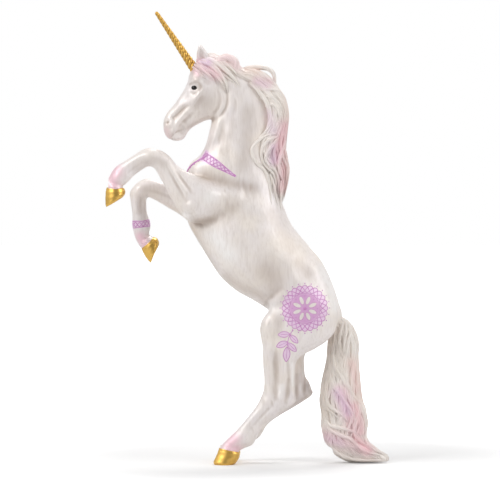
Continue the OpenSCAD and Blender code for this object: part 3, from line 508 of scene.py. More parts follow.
# Parting the casting
# The clay is drawn off as one skin and parted where the real pieces are glued, so no seam shows.
# Each piece is closed, then painted pearl white, with brown wash and painted shade in its hollows, sprayed painted
# shade and painted highlights, and pink and lilac dusting.
COLLAR_PX = 167.0
HIND_SEAM_PX = ((258.0, 298.0), (334.0, 341.0))
FORE_SEAM_PX = ((189.0, 168.0), (204.0, 230.0))
FINE_HOLLOW_MM = 0.55
BROAD_HOLLOW_MM = 1.6
SKIN_CELLS = 4
SLOPE_CELLS = 1.2
SEAM_GAP_MM = 0.02


def drawn_off(clay):
    """Points, triangles, outward directions and hollowness of the clay's skin."""
    limit = SKIN_CELLS * clay.cell
    field = softened(np.clip(clay.depth, -limit, limit))
    grid = vdb.FloatGrid(limit)
    grid.copyFromArray(np.ascontiguousarray(field), ijk=tuple(int(v) for v in clay.low), tolerance=0.0)
    grid.transform = vdb.createLinearTransform(clay.cell)
    grid.gridClass = vdb.GridClass.LEVEL_SET
    points, triangles, quads = grid.convertToPolygons(isovalue=0.0, adaptivity=0.0)
    quads = quads[:, ::-1].astype(int)
    triangles = np.concatenate([triangles[:, ::-1].astype(int), quads[:, [0, 1, 2]], quads[:, [0, 2, 3]]])
    points = points.astype(float)

    def value(offset):
        return sampled(field, points + offset, clay.low, clay.cell)

    steps = np.eye(3) * clay.cell * SLOPE_CELLS
    outward = np.stack([value(step) - value(-step) for step in steps], axis=-1)
    outward /= np.linalg.norm(outward, axis=1, keepdims=True) + 1e-9
    hollow = []
    for reach in (FINE_HOLLOW_MM, BROAD_HOLLOW_MM):
        around = sum(
            sampled(clay.depth, points + sign * reach * way, clay.low, clay.cell)
            for way in np.eye(3) for sign in (-1, 1))
        hollow.append(-(around - 6 * sampled(clay.depth, points, clay.low, clay.cell)) / reach)
    return points, triangles, np.column_stack([outward, *hollow])


def parted(points, triangles, values, split):
    """Cuts a skin where the split values pass zero, and gives the side below zero and the side above."""
    split = np.where(np.abs(split) < 1e-5, 1e-5, split)
    above = split[triangles] > 0
    count = above.sum(axis=1)
    sides = [[triangles[count == 0]], [triangles[count == 3]]]
    fresh = {}
    made_points, made_values, made_split = [points], [values], [split]
    total = len(points)
    for lone_above in (True, False):
        chosen = triangles[count == (1 if lone_above else 2)]
        if not len(chosen):
            continue
        alone = (split[chosen] > 0) == lone_above
        first = alone.argmax(axis=1)
        turned = np.stack([chosen[np.arange(len(chosen)), (first + k) % 3] for k in range(3)], axis=1)
        edges = np.concatenate([turned[:, [0, 1]], turned[:, [0, 2]]])
        fresh[lone_above] = (turned, np.sort(edges, axis=1))
    every = np.concatenate([edges for _, edges in fresh.values()])
    unique, place = np.unique(every, axis=0, return_inverse=True)
    place = place.reshape(-1)
    a, b = unique.T
    share = (split[a] / (split[a] - split[b]))[:, None]
    made_points.append(points[a] + (points[b] - points[a]) * share)
    made_values.append(values[a] + (values[b] - values[a]) * share)
    place = place + total
    used = 0
    for lone_above, (turned, edges) in fresh.items():
        half = len(turned)
        on_first, on_last = place[used:used + half], place[used + half:used + 2 * half]
        used += 2 * half
        lone = np.stack([turned[:, 0], on_first, on_last], axis=1)
        pair = np.concatenate([
            np.stack([on_first, turned[:, 1], turned[:, 2]], axis=1),
            np.stack([on_first, turned[:, 2], on_last], axis=1)])
        sides[1 if lone_above else 0].append(lone)
        sides[0 if lone_above else 1].append(pair)
    points, values = np.concatenate(made_points), np.concatenate(made_values)
    out = []
    for faces in sides:
        faces = np.concatenate(faces)
        kept, renumbered = np.unique(faces, return_inverse=True)
        out.append((points[kept], renumbered.reshape(-1, 3), values[kept]))
    return out


def capped(points, triangles, values):
    """Closes the open ends of a skin with fans, so that each piece is solid."""
    edges = np.concatenate([triangles[:, [0, 1]], triangles[:, [1, 2]], triangles[:, [2, 0]]])
    keys = edges[:, 0] * len(points) + edges[:, 1]
    back = edges[:, 1] * len(points) + edges[:, 0]
    rim = edges[~np.isin(keys, back)]
    onward = dict(zip(rim[:, 0], rim[:, 1]))
    caps, hubs, hub_values = [], [], []
    while onward:
        start, following = onward.popitem()
        loop = [start]
        while following != start and following in onward:
            loop.append(following)
            following = onward.pop(following)
        hub = len(points) + len(hubs)
        hubs.append(points[loop].mean(axis=0))
        hub_values.append(values[loop].mean(axis=0))
        caps += [(loop[(k + 1) % len(loop)], loop[k], hub) for k in range(len(loop))]
    return (np.concatenate([points, hubs]), np.concatenate([triangles, caps]), np.concatenate([values, hub_values]))


def placed(name, data):
    """An object put in the scene."""
    thing = bpy.data.objects.new(name, data)
    bpy.context.scene.collection.objects.link(thing)
    return thing


def as_object(name, points_mm, faces, smooth=True):
    """A mesh object in metres, at the origin."""
    mesh = bpy.data.meshes.new(name)
    if isinstance(faces, np.ndarray):
        mesh.vertices.add(len(points_mm))
        mesh.vertices.foreach_set("co", (np.asarray(points_mm) * MM).astype(np.float32).ravel())
        corners = faces.shape[1]
        mesh.loops.add(faces.size)
        mesh.loops.foreach_set("vertex_index", faces.astype(np.int32).ravel())
        mesh.polygons.add(len(faces))
        mesh.polygons.foreach_set("loop_start", np.arange(len(faces), dtype=np.int32) * corners)
    else:
        mesh.from_pydata(
            [tuple(np.asarray(p) * MM) for p in points_mm], [], [tuple(int(v) for v in face) for face in faces])
    mesh.update(calc_edges=True)
    mesh.validate()
    mesh.polygons.foreach_set("use_smooth", np.full(len(mesh.polygons), smooth))
    return placed(name, mesh)


def keep_values(piece, name, values, kind="FLOAT"):
    """Stores a number, a direction or a mark on each point of a piece, for its nodes and its finish."""
    layer = piece.data.attributes.new(name, kind, "POINT")
    values = np.asarray(values, dtype=bool if kind == "BOOLEAN" else np.float32)
    layer.data.foreach_set("vector" if kind == "FLOAT_VECTOR" else "value", values.ravel())


def points_of(piece):
    """A piece's points in millimetres."""
    flat = np.empty(len(piece.data.vertices) * 3, dtype=np.float32)
    piece.data.vertices.foreach_get("co", flat)
    return flat.reshape(-1, 3).astype(float) / MM


def misted(points, sprays):
    """How much paint an airbrush leaves at points, for colour and for painted shade and highlights. A spray is a path
    in pixels, its width and its strength.
    """
    paint = np.zeros(len(points))
    for path_px, width_px, strength in sprays:
        path = eased(side_mm(path_px), 4) if len(path_px) > 1 else side_mm(path_px)
        best = np.full(len(points), 1e9)
        flat = points[:, [0, 2]]
        for k in range(max(len(path) - 1, 1)):
            start = path[k]
            way = path[min(k + 1, len(path) - 1)] - start
            t = np.clip((flat - start) @ way / (way @ way + 1e-9), 0, 1)
            best = np.minimum(best, ((flat - start - t[:, None] * way) ** 2).sum(axis=1))
        paint = np.maximum(paint, strength * np.exp(-best / (width_px * PIXEL_MM) ** 2))
    return paint


MEDALLION_PX = (304.6, 306.5)
DISC_PX = 14.6
WREATH_PX, WREATH_SWAY_PX, WREATH_WAVES, WREATH_STRANDS = 19.4, 3.4, 8, 3
WREATH_MEAN, WREATH_RIPPLE = 0.75, 0.25
PETALS = 8
PETAL_MIDDLE_PX = 8.4
PETAL_HALF_PX = (4.4, 2.2)
LEAVES_PX = [((289.6, 332), (278, 333), 2.9), ((289.8, 333), (297.6, 341), 2.6), ((287.6, 340), (276.4, 345), 3.0),
             ((287.8, 341), (296, 349.6), 2.7), ((287, 345), (286, 360), 3.3)]
LEAF_POWER = 0.75
SHOULDER_PX = [(203.6, 155), (213, 161), (224, 168), (235.4, 175.4)]
SHOULDER_HALF_PX = (6.2, 1.0)
FETLOCK_PX = (221.0, 227.8)
FETLOCK_MIDDLE_PX, FETLOCK_REACH_PX = 141, 16
HAUNCH_SIDE_MM, SHOULDER_SIDE_MM, FETLOCK_SIDE_MM = 6.0, 2.5, 2
FILL_SHARE, THIN_SHARE = 0.85, 0.8
# Painted highlights, sprayed in near white where the light catches the ribs, shoulder, back and hock tendons
HIGHLIGHT_SPRAYS = [
    ([(215, 236), (222, 244), (229, 254)], 9, 0.8), ([(208, 198), (214, 193)], 6, 0.6), ([(198, 171)], 5, 0.6),
    ([(322, 268), (331, 288), (334, 306)], 6, 0.7), ([(272, 304), (266, 318)], 5, 0.4), ([(186, 214)], 4, 0.6),
    ([(292, 362), (293, 384)], 1.5, 0.6), ([(301, 386), (301, 391)], 2, 0.8), ([(281, 384), (281, 396)], 2.4, 0.6)]
PINK_SPRAYS = [
    ([(117, 170), (113, 178), (115, 187)], 7, 0.85), ([(140, 238), (144, 244), (147, 250)], 6, 0.85),
    ([(233, 438), (229, 445), (229, 451), (235, 448)], 7.4, 0.85), ([(197, 62), (204, 66), (214, 74)], 6, 0.7),
    ([(193, 68), (198, 73)], 4, 0.6), ([(166, 130), (168, 136)], 4, 0.3)]
SHADE_SPRAYS = [
    ([(267, 269), (275, 278), (276, 286)], 13, 0.5), ([(246, 288), (262, 292)], 7, 0.2),
    ([(298, 262), (308, 272)], 9, 0.36), ([(205, 102)], 12, 0.48), ([(199, 98), (203, 104), (200, 112)], 5, 0.25),
    ([(196, 89)], 4.6, 0.42), ([(197, 221.8), (205, 220.6), (213, 218)], 5.0, 0.82),
    ([(214, 217), (224, 212), (234, 205)], 8, 0.36), ([(202, 174), (226, 181), (254, 188)], 6, 0.5),
    ([(226, 276), (240, 286), (264, 294)], 6, 0.36), ([(192, 226), (204, 250), (216, 268)], 4, 0.3),
    ([(248, 112), (248, 136), (244, 164)], 8, 0.34), ([(232, 120), (230, 136)], 5, 0.2),
    ([(276, 352), (277, 380)], 4, 0.3), ([(138, 168), (147, 161.4), (156, 158.6), (163, 163)], 5, 0.34),
    ([(146, 190), (156, 191)], 5.5, 0.3), ([(141, 198), (141, 212)], 4, 0.3), ([(276, 317), (278, 330)], 7, 0.3),
    ([(275.2, 372), (275.4, 397)], 2.2, 0.36), ([(288.4, 378), (286.4, 390), (285.6, 401)], 1.8, 0.42),
    ([(297, 376), (297, 400)], 2.0, 0.38), ([(305.4, 387), (304.6, 396)], 1.8, 0.3),
    ([(306.4, 399), (292.7, 406), (280.8, 413.4)], 2.6, 0.38), ([(266, 322), (273, 314)], 3, 0.34),
    ([(256, 292), (262, 297), (265, 302)], 4, 0.4), ([(273, 315)], 6, 0.2), ([(199, 85), (203, 90)], 4, 0.3),
    ([(202, 53), (203, 58)], 2.2, 0.14), ([(190.6, 84), (195, 81.8), (199.6, 83), (202, 87)], 1.5, 0.55),
    ([(191.6, 91.6), (195.6, 92.8), (199.4, 91)], 1.4, 0.4), ([(194.4, 72), (196, 80)], 4.4, 0.55),
    ([(166, 124), (169, 132)], 4, 0.3), ([(187, 128), (197, 122), (208, 117)], 2.4, 0.4),
    ([(212, 142), (208, 154)], 6, 0.25), ([(225, 134), (221, 148)], 7, 0.2),
    ([(272, 212), (280, 228), (292, 250)], 6, 0.3), ([(184, 106), (178, 114)], 3, 0.35),
    ([(167, 122.6)], 2.4, 0.55), ([(187, 124), (182, 131)], 4, 0.25)]


def inked(inside, crispness=1.6):
    """How much ink lies this far inside an edge."""
    return np.clip(inside * crispness + 0.5, 0, 1)


def markings_at(points):
    """How much of the two violet paints the brush has filled in at points."""
    x, z = side_mm(MEDALLION_PX)
    dx, dz = (points[:, 0] - x) / PIXEL_MM, (points[:, 2] - z) / PIXEL_MM
    radius, angle = np.hypot(dx, dz), np.arctan2(dz, dx)
    outside = np.abs(points[:, 1]) > HAUNCH_SIDE_MM
    leaf = np.mod(angle, 2 * math.pi / PETALS) - math.pi / PETALS
    across = radius * np.sin(leaf) / PETAL_HALF_PX[1]
    along = (radius * np.cos(leaf) - PETAL_MIDDLE_PX) / PETAL_HALF_PX[0]
    petal = inked(1 - np.hypot(across, along), 3)
    disc = inked(DISC_PX - radius)
    ripple = WREATH_MEAN + WREATH_RIPPLE * np.cos(WREATH_STRANDS * WREATH_WAVES * angle)
    filled = inked(WREATH_PX + WREATH_SWAY_PX * ripple - radius) * (1 - disc)
    pixel = np.column_stack([points[:, 0], -points[:, 2]]) / PIXEL_MM + (MIDDLE_PX, GROUND_PX)
    for base, tip, half_px in LEAVES_PX:
        way = np.subtract(tip, base)
        long = way @ way
        share = (pixel - base) @ way / long
        off = np.abs((pixel - base) @ (-way[1], way[0])) / math.sqrt(long)
        width = half_px * np.sin(math.pi * np.clip(share, 0, 1)) ** LEAF_POWER
        filled = np.maximum(filled, inked(width - off) * (share > 0) * (share < 1))
    shoulder = np.zeros(len(points))
    path = eased(SHOULDER_PX, 5)
    for k, place in enumerate(path):
        half_px = SHOULDER_HALF_PX[0] + (SHOULDER_HALF_PX[1] - SHOULDER_HALF_PX[0]) * k / (len(path) - 1)
        shoulder = np.maximum(shoulder, inked(half_px - np.hypot(*(pixel - place).T), 1.2))
    fetlock = inked(FETLOCK_PX[1] - pixel[:, 1]) * inked(pixel[:, 1] - FETLOCK_PX[0])
    fetlock = fetlock * (np.abs(pixel[:, 0] - FETLOCK_MIDDLE_PX) < FETLOCK_REACH_PX) * (points[:, 1] > FETLOCK_SIDE_MM)
    shoulder = shoulder * (np.abs(points[:, 1]) > SHOULDER_SIDE_MM)
    lilac = np.maximum(filled * outside * FILL_SHARE, shoulder * THIN_SHARE)
    return disc * (1 - petal) * outside * FILL_SHARE, np.maximum(lilac, fetlock * THIN_SHARE)


skin_points, skin_faces, skin_values = drawn_off(body)


def over_line(points, line_px):
    """Millimetres above or behind a line through two pixels of the side view."""
    a, b = side_mm(line_px)
    way = (b - a) / np.linalg.norm(b - a)
    return (points[:, 2] - a[1]) * way[0] - (points[:, 0] - a[0]) * way[1]


def at_skin(shape, points):
    """A shape's distances at points."""
    slices, field = shape
    low = body.low + np.array([s.start for s in slices])
    inside = sampled(field, points, low, body.cell)
    at = points / body.cell - low
    beyond = np.any((at < 0) | (at > np.array(field.shape) - 1), axis=1)
    return np.where(beyond, SKIN_REACH_MM, inside)


PEARL = (243, 236, 235)
PEARL_WARM = (244, 235, 227)
# Near white for the painted highlights
HIGHLIGHT_WHITE = (255, 252, 250)
# A brown that is both wash and painted shade
WASH_AND_SHADE = (182, 165, 152)
PINK = (243, 200, 212)
LILAC = (239, 207, 236)
ORCHID = (217, 156, 212)


def paint(rgb):
    """A paint's colour, from its usual numbers."""
    linear = [(c / 255 / 12.92) if c <= 10 else ((c / 255 + 0.055) / 1.055) ** 2.4 for c in rgb]
    return (*linear, 1.0)


def add(tree, kind, inputs=None, **settings):
    """Adds a node, and joins or sets its inputs."""
    node = tree.nodes.new(kind)
    for key, value in settings.items():
        setattr(node, key, value)
    for key, value in (inputs or {}).items():
        socket = node.inputs[key]
        if isinstance(value, bpy.types.NodeSocket):
            tree.links.new(value, socket)
        else:
            socket.default_value = value
    return node


def stretched(tree, value, low, high, least=0.0, most=1.0, kind="LINEAR"):
    """A number stretched so that low gives the least and high gives the most."""
    return add(tree, "ShaderNodeMapRange", {
        "Value": value, "From Min": low, "From Max": high, "To Min": least, "To Max": most},
        interpolation_type=kind).outputs["Result"]


def carried(tree, name, low=0.0, high=1.0, most=1.0):
    """A number kept on the mesh, stretched so that low gives 0 and high gives the most."""
    kept = add(tree, "ShaderNodeAttribute", attribute_name=name)
    return stretched(tree, kept.outputs["Fac"], low, high, most=most)


def sums(tree, operation, *values):
    """The result of a sum on numbers."""
    return add(tree, "ShaderNodeMath", dict(enumerate(values)), operation=operation).outputs[0]


def laid_over(tree, share, below, above):
    """One colour laid over another."""
    return add(tree, "ShaderNodeMix", {0: share, 6: below, 7: above}, data_type="RGBA").outputs[2]


def grain(tree, scale, stretch=(1, 1, 1), detail=3.0, roughness=0.5):
    """Noise in the piece's own space, with this many waves to the metre."""
    place = add(tree, "ShaderNodeTexCoord")
    drawn_out = add(tree, "ShaderNodeMapping", {"Vector": place.outputs["Object"], "Scale": stretch})
    noise = add(tree, "ShaderNodeTexNoise", {
        "Vector": drawn_out.outputs["Vector"], "Scale": scale, "Detail": detail, "Roughness": roughness})
    return noise.outputs["Fac"]


def finish(name, roughness=0.4, metallic=0.0, coat=0.0, coat_roughness=0.15):
    """A new finish, its node tree and its shader."""
    material = bpy.data.materials.new(name)
    material.use_nodes = True
    tree = material.node_tree
    shader = tree.nodes["Principled BSDF"]
    shader.inputs["Roughness"].default_value = roughness
    shader.inputs["Metallic"].default_value = metallic
    shader.inputs["Coat Weight"].default_value = coat
    shader.inputs["Coat Roughness"].default_value = coat_roughness
    return material, tree, shader


def bumped(tree, shader, height, distance_mm):
    """Fine relief that is too small for the mesh."""
    bump = add(tree, "ShaderNodeBump", {"Height": height, "Distance": distance_mm * MM})
    tree.links.new(bump.outputs["Normal"], shader.inputs["Normal"])


def painted(tree, shader, colour, coats):
    """Lays coats of paint over a colour, each with its share and its usual numbers, and gives them to the shader."""
    for share, rgb in coats:
        colour = laid_over(tree, share, colour, paint(rgb))
    tree.links.new(colour, shader.inputs["Base Color"])


pearl_finish, tree, shader = finish("pearl_paint", roughness=0.42, metallic=0.15, coat=0.2, coat_roughness=0.3)
hairs = grain(tree, 1300.0, stretch=(1.0, 1.0, 0.17), detail=2.0)
clouds = stretched(tree, grain(tree, 70.0), 0.35, 0.65)
# Over the pearl: brown wash and painted shade in the fine and broad hollows, painted highlights where the white sprays
# lie, darker fur streaks, painted shade where the shade sprays lie, then pink, lilac and orchid paint.
painted(tree, shader, laid_over(tree, clouds, paint(PEARL), paint(PEARL_WARM)), (
    (carried(tree, "broad_hollow", 0.0, 1.1, 0.55), WASH_AND_SHADE), (carried(tree, "fine_hollow", 0.05, 1.6, 0.5), WASH_AND_SHADE),
    (carried(tree, "white"), HIGHLIGHT_WHITE), (stretched(tree, hairs, 0.45, 0.75, most=0.2), WASH_AND_SHADE),
    (carried(tree, "shade"), WASH_AND_SHADE), (carried(tree, "pink"), PINK), (carried(tree, "lilac"), LILAC),
    (carried(tree, "orchid"), ORCHID)))
bumped(tree, shader, hairs, 0.07)

parts = {}
rest = (skin_points, skin_faces, skin_values)
for name, shape, seam_px, side in (
        ("left_hind_leg", hind_skins[NEAR], HIND_SEAM_PX, NEAR),
        ("right_hind_leg", hind_skins[FAR], HIND_SEAM_PX, FAR),
        ("left_foreleg", fore_skins[NEAR], FORE_SEAM_PX, NEAR),
        ("right_foreleg", fore_skins[FAR], FORE_SEAM_PX, FAR)):
    points = rest[0]
    beyond_seam = over_line(points, seam_px)
    closer = at_skin(shape, points) - at_skin(trunk_skin, points)
    split = np.maximum(np.maximum(beyond_seam, closer), -side * points[:, 1] + SEAM_GAP_MM)
    parts[name], rest = parted(*rest, split)
parts["trunk"], upper = parted(*rest, rest[0][:, 2] - side_mm((0, COLLAR_PX))[1])
closer = at_skin(head_skin, upper[0]) - at_skin(trunk_skin, upper[0])
parts["head"], parts["neck"] = parted(*upper, closer)

for name, part in parts.items():
    points, triangles, values = capped(*part)
    piece = as_object("pearl_" + name, points, triangles)
    keep_values(piece, "fine_hollow", values[:, 3])
    keep_values(piece, "broad_hollow", values[:, 4])
    outward = values[:, :3] / (np.linalg.norm(values[:, :3], axis=1, keepdims=True) + 1e-9)
    piece.data.normals_split_custom_set_from_vertices([tuple(v) for v in outward])
    orchid, lilac = markings_at(points)
    for paint_name, shares in (
            ("white", misted(points, HIGHLIGHT_SPRAYS)), ("pink", misted(points, PINK_SPRAYS)),
            ("shade", misted(points, SHADE_SPRAYS)), ("orchid", orchid), ("lilac", lilac)):
        keep_values(piece, paint_name, shares)
    piece.data.materials.append(pearl_finish)
    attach(piece, "root")
    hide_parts(name)

# Eyes
# Two glossy black beads set in the head, with a speckled painted brown glint that grows towards each bead's rim as it
# turns away from view.
# Each is a little flat and leans with the brow.
EYE_SIDES, EYE_ROWS = 40, 24
EYE_OVAL, EYE_SLANT = 0.84, math.radians(14)
EYE_BLACK, EYE_GLINT_BROWN = (16, 12, 11), (58, 38, 28)

eye_finish, tree, shader = finish("black_bead", roughness=0.25, coat=0.35, coat_roughness=0.05)
shader.inputs["Specular IOR Level"].default_value = 0.25
# Painted glint: brown laid over the black where the bead turns away from view
rim = add(tree, "ShaderNodeLayerWeight", {"Blend": 0.35}).outputs["Facing"]
speckle = sums(tree, "MULTIPLY", grain(tree, 1500.0), 0.5)
painted(tree, shader, paint(EYE_BLACK), [(sums(tree, "MULTIPLY", rim, speckle), EYE_GLINT_BROWN)])

for side, node in ((NEAR, "left_eye"), (FAR, "right_eye")):
    x, z = side_mm(EYE_PX)
    tilt = np.linspace(0, math.pi, EYE_ROWS)[1:-1, None]
    turn = full_turn(EYE_SIDES)[None]
    along, across = EYE_RADIUS_MM * np.sin(tilt) * np.cos(turn), EYE_RADIUS_MM * EYE_OVAL * np.sin(tilt) * np.sin(turn)
    bead = np.stack([
        x + along * math.cos(EYE_SLANT) - across * math.sin(EYE_SLANT),
        side * EYE_MIDDLE_MM - EYE_RADIUS_MM * np.cos(tilt) * np.ones_like(turn),
        z + along * math.sin(EYE_SLANT) + across * math.cos(EYE_SLANT)], axis=-1)
    bead_points, quads, fans = closed_skin(bead)
    bead_points[-2:] = [[x, side * EYE_MIDDLE_MM - EYE_RADIUS_MM, z], [x, side * EYE_MIDDLE_MM + EYE_RADIUS_MM, z]]
    eye = as_object(node + "_bead", bead_points, [*quads, *fans])
    eye.data.materials.append(eye_finish)
    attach(eye, "root")
    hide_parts(node)

# Hooves
# Gold-painted hooves under each leg, with a rounded wall, a cleft heel, and a hollow sole with its frog.
# The hind hooves are flat where they stand; the fore hooves hang with their toes down.
# The deeper gold is both patchy tone in the paint and painted shade in the hollows.
GOLD, GOLD_DEEP_AND_SHADE = (232, 188, 98), (160, 110, 36)
HOOF_SIDES = 72
FORE_HOOF_HALF_MM, HIND_HOOF_HALF_MM = (3.0, 3.4, 3.65, 3.8, 3.7, 3.1), (3.3, 3.5, 3.75, 4.0, 3.9)
CLEFT, CLEFT_TURN = 0.16, 0.16
HEEL, HEEL_AT, HEEL_TURN = 0.05, 0.45, 0.22
GROWTH, GROWTH_PACE = 0.006, 26
CORONET, CORONET_AT, CORONET_SHARE = 0.02, 0.1, 0.06
SOLE_SHARES = (0.97, 0.9, 0.84, 0.8, 0.6, 0.4, 0.2, 0.04)
SOLE_HOLLOW_MM = 0.35
SOLE_RIM, SOLE_SHADE = 0.92, 0.35
FROG_TURN, FROG_SPREAD, FROG_HEIGHT = 0.25, 0.35, 0.75

hooves = {
    "left_fore_hoof": (NEAR * FORE_MIDDLE_MM, 0, (
        [[124.4, 187], [107.4, 186.6]], [[125.5, 189], [106.4, 189.4]], [[125.9, 191.4], [106, 193.6]],
        [[125.2, 193.8], [105.9, 199]], [[123, 196.6], [106.1, 203.6]], [[118.6, 199.4], [106.9, 206]]),
        FORE_HOOF_HALF_MM),
    "right_fore_hoof": (FAR * FORE_MIDDLE_MM, 0, (
        [[152.8, 238], [141, 249.6]], [[155.6, 238.6], [141.8, 251.8]], [[157.8, 240.6], [143.2, 254.6]],
        [[158.8, 244], [145.4, 258.4]], [[157.8, 248], [148.2, 262]], [[154.6, 253.4], [150.4, 264]]),
        FORE_HOOF_HALF_MM),
    "left_hind_hoof": (NEAR * HIND_MIDDLE_MM, math.pi, (
        [[219.2, 446.8], [238.6, 450.8]], [[218.2, 449.4], [239.8, 452.4]], [[216.4, 454.4], [239.4, 456.4]],
        [[213.4, 460.8], [236, 461.8]], [[214.4, 463.5], [234, 463.5]]), HIND_HOOF_HALF_MM),
    "right_hind_hoof": (FAR * HIND_MIDDLE_MM, math.pi, (
        [[220.6, 447.6], [239.4, 451.6]], [[219.6, 450.4], [240.2, 453.4]], [[218, 455.2], [240, 457]],
        [[215.4, 460.8], [237.4, 462]], [[216, 463.5], [235.6, 463.5]]), HIND_HOOF_HALF_MM)}


def gold_paint(name, shine, dull):
    """Gold metallic paint, patchy in colour, with painted shade in a deeper gold in its grooves, between two
    roughnesses.
    """
    material, tree, shader = finish(name, metallic=0.94, coat=0.2, coat_roughness=0.12)
    brushed = grain(tree, 500.0)
    painted(tree, shader, paint(GOLD), (
        (stretched(tree, brushed, 0.42, 0.75, most=0.1), GOLD_DEEP_AND_SHADE), (carried(tree, "groove"), GOLD_DEEP_AND_SHADE)))
    tree.links.new(stretched(tree, brushed, 0.3, 0.7, shine, dull), shader.inputs["Roughness"])
    bumped(tree, shader, grain(tree, 1400.0, detail=2.0), 0.006)
    return material


gold_finish = gold_paint("gold_paint", 0.27, 0.33)

for name, (middle_mm, heel, wall_px, half_mm) in hooves.items():
    wall = rings(wall_px, half_mm, middle_mm, sides=HOOF_SIDES, square=2.05)
    from_heel = math.pi - np.abs(np.mod(full_turn(HOOF_SIDES) - heel, 2 * math.pi) - math.pi)
    cleft = CLEFT * np.exp(-(from_heel / CLEFT_TURN) ** 2) - HEEL * np.exp(-((from_heel - HEEL_AT) / HEEL_TURN) ** 2)
    down = np.linspace(0, 1, len(wall))
    middle = wall.mean(axis=1, keepdims=True)
    coronet = CORONET * np.exp(-((down - CORONET_AT) / CORONET_SHARE) ** 2)
    growth = 1 + GROWTH * np.sin(down * GROWTH_PACE) + coronet
    shape = growth[:, None] * (1 - cleft[None] * np.clip(down * 4, 0, 1)[:, None])
    wall = middle + (wall - middle) * shape[..., None]
    edge = wall[-1]
    centre = edge.mean(axis=0)
    normal = np.cross(edge[HOOF_SIDES // 4] - centre, edge[0] - centre)
    inward = middle[0, 0] - centre
    inward = normal * np.sign(normal @ inward) / np.linalg.norm(normal)
    sole = []
    for share in SOLE_SHARES:
        hollow = SOLE_HOLLOW_MM * np.clip((SOLE_RIM - share) / 0.1, 0, 1)
        frog = np.exp(-(from_heel / (FROG_TURN + FROG_SPREAD * (1 - share))) ** 2) * np.clip((share - 0.1) * 4, 0, 1)
        sole.append(centre + (edge - centre) * share + inward * (hollow * (1 - FROG_HEIGHT * frog))[:, None])
    points, quads, fans = closed_skin(np.concatenate([wall, sole]))
    points[:, 2] = np.maximum(points[:, 2], 0)
    hoof = as_object("gold_" + name, points, [*quads, *fans])
    # Painted shade, a deeper gold, in the heel's cleft and over the whole sole underneath.
    shaded_dips = np.concatenate([
        (np.clip(cleft, 0, 1) * 4)[None] * np.ones((len(wall), 1)), np.full((len(sole), HOOF_SIDES), SOLE_SHADE)])
    keep_values(hoof, "groove", np.concatenate([shaded_dips.ravel(), [0, 0]]))
    hoof.data.materials.append(gold_finish)
    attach(hoof, "root")
    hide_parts(name)

# Horn
# A slender gold horn on the brow: three strands twisted round each other in close coils,
# down to a blunt tip, with painted shade in a deeper gold in the grooves between them.
HORN_SEAT_PX, HORN_TIP_PX = (193.9, 68.2), (156.0, 12.0)
HORN_FOOT_MM = 2.2
COIL_ROUNDNESS = 0.65
TIP_BLUNTNESS, FOOT_BLUNTNESS = 55.0, 400.0
SEAM_MERGE_M = 2e-6


def new_tree(name, sizes):
    """A geometry tree with named inputs; gives the tree, its inputs and its output."""
    tree = bpy.data.node_groups.new(name, "GeometryNodeTree")
    tree.interface.new_socket("Geometry", in_out="INPUT", socket_type="NodeSocketGeometry")
    for label, kind, value in sizes:
        socket = tree.interface.new_socket(label, in_out="INPUT", socket_type="NodeSocket" + kind)
        if value is not None:
            socket.default_value = value
    tree.interface.new_socket("Geometry", in_out="OUTPUT", socket_type="NodeSocketGeometry")
    given = add(tree, "NodeGroupInput")
    return tree, given.outputs, add(tree, "NodeGroupOutput")


def vectors(tree, operation, **values):
    """A vector sum; a, b and scale are its inputs."""
    spots = {"a": 0, "b": 1, "scale": 3}
    return add(tree, "ShaderNodeVectorMath", {spots[k]: v for k, v in values.items()}, operation=operation).outputs


def between(tree, least, most, share):
    """A number this share of the way from the least to the most."""
    return sums(tree, "ADD", least, sums(tree, "MULTIPLY", share, sums(tree, "SUBTRACT", most, least)))


def rounded(tree, share, bluntness):
    """Rises from nothing at an end like a round cap, and stays at 1 from there on."""
    return sums(tree, "POWER", sums(tree, "MINIMUM", sums(tree, "MULTIPLY", share, bluntness), 1.0), 0.5)


def ridge(tree, turn, roundness):
    """How far out a row of round ridges is, over half a turn each, and nothing in the grooves between them."""
    wave = sums(tree, "ABSOLUTE", sums(tree, "SINE", turn))
    return sums(tree, "POWER", wave, roundness)


def grooved(tree, depth, height):
    """The share of the full radius that is left where a ridge has this height."""
    return sums(tree, "SUBTRACT", 1.0, sums(tree, "MULTIPLY", depth, sums(tree, "SUBTRACT", 1.0, height)))


def stored(tree, geometry, name, value, kind="FLOAT"):
    """Stores a value on the geometry under a name."""
    return add(tree, "GeometryNodeStoreNamedAttribute", {
        "Geometry": geometry, "Name": name, "Value": value}, data_type=kind).outputs[0]


def grown(name, base, tree, **given):
    """Runs a geometry tree on a mesh and gives the result as a plain mesh object."""
    modifier = base.modifiers.new(tree.name, "NODES")
    modifier.node_group = tree
    for item in tree.interface.items_tree:
        if item.item_type == "SOCKET" and item.in_out == "INPUT" and item.name.replace(" ", "_") in given:
            modifier[item.identifier] = given[item.name.replace(" ", "_")]
    made = bpy.data.meshes.new_from_object(base.evaluated_get(bpy.context.evaluated_depsgraph_get()))
    base.modifiers.remove(modifier)
    bpy.data.objects.remove(base)
    made.name = name
    return placed(name, made)


def ended(tree, mesh, material, output):
    """The last nodes of every tree."""
    real = add(tree, "GeometryNodeRealizeInstances", {"Geometry": mesh})
    smooth = add(tree, "GeometryNodeSetShadeSmooth", {"Geometry": real.outputs[0]})
    coated = add(tree, "GeometryNodeSetMaterial", {"Geometry": smooth.outputs[0], "Material": material})
    tree.links.new(coated.outputs[0], output.inputs[0])


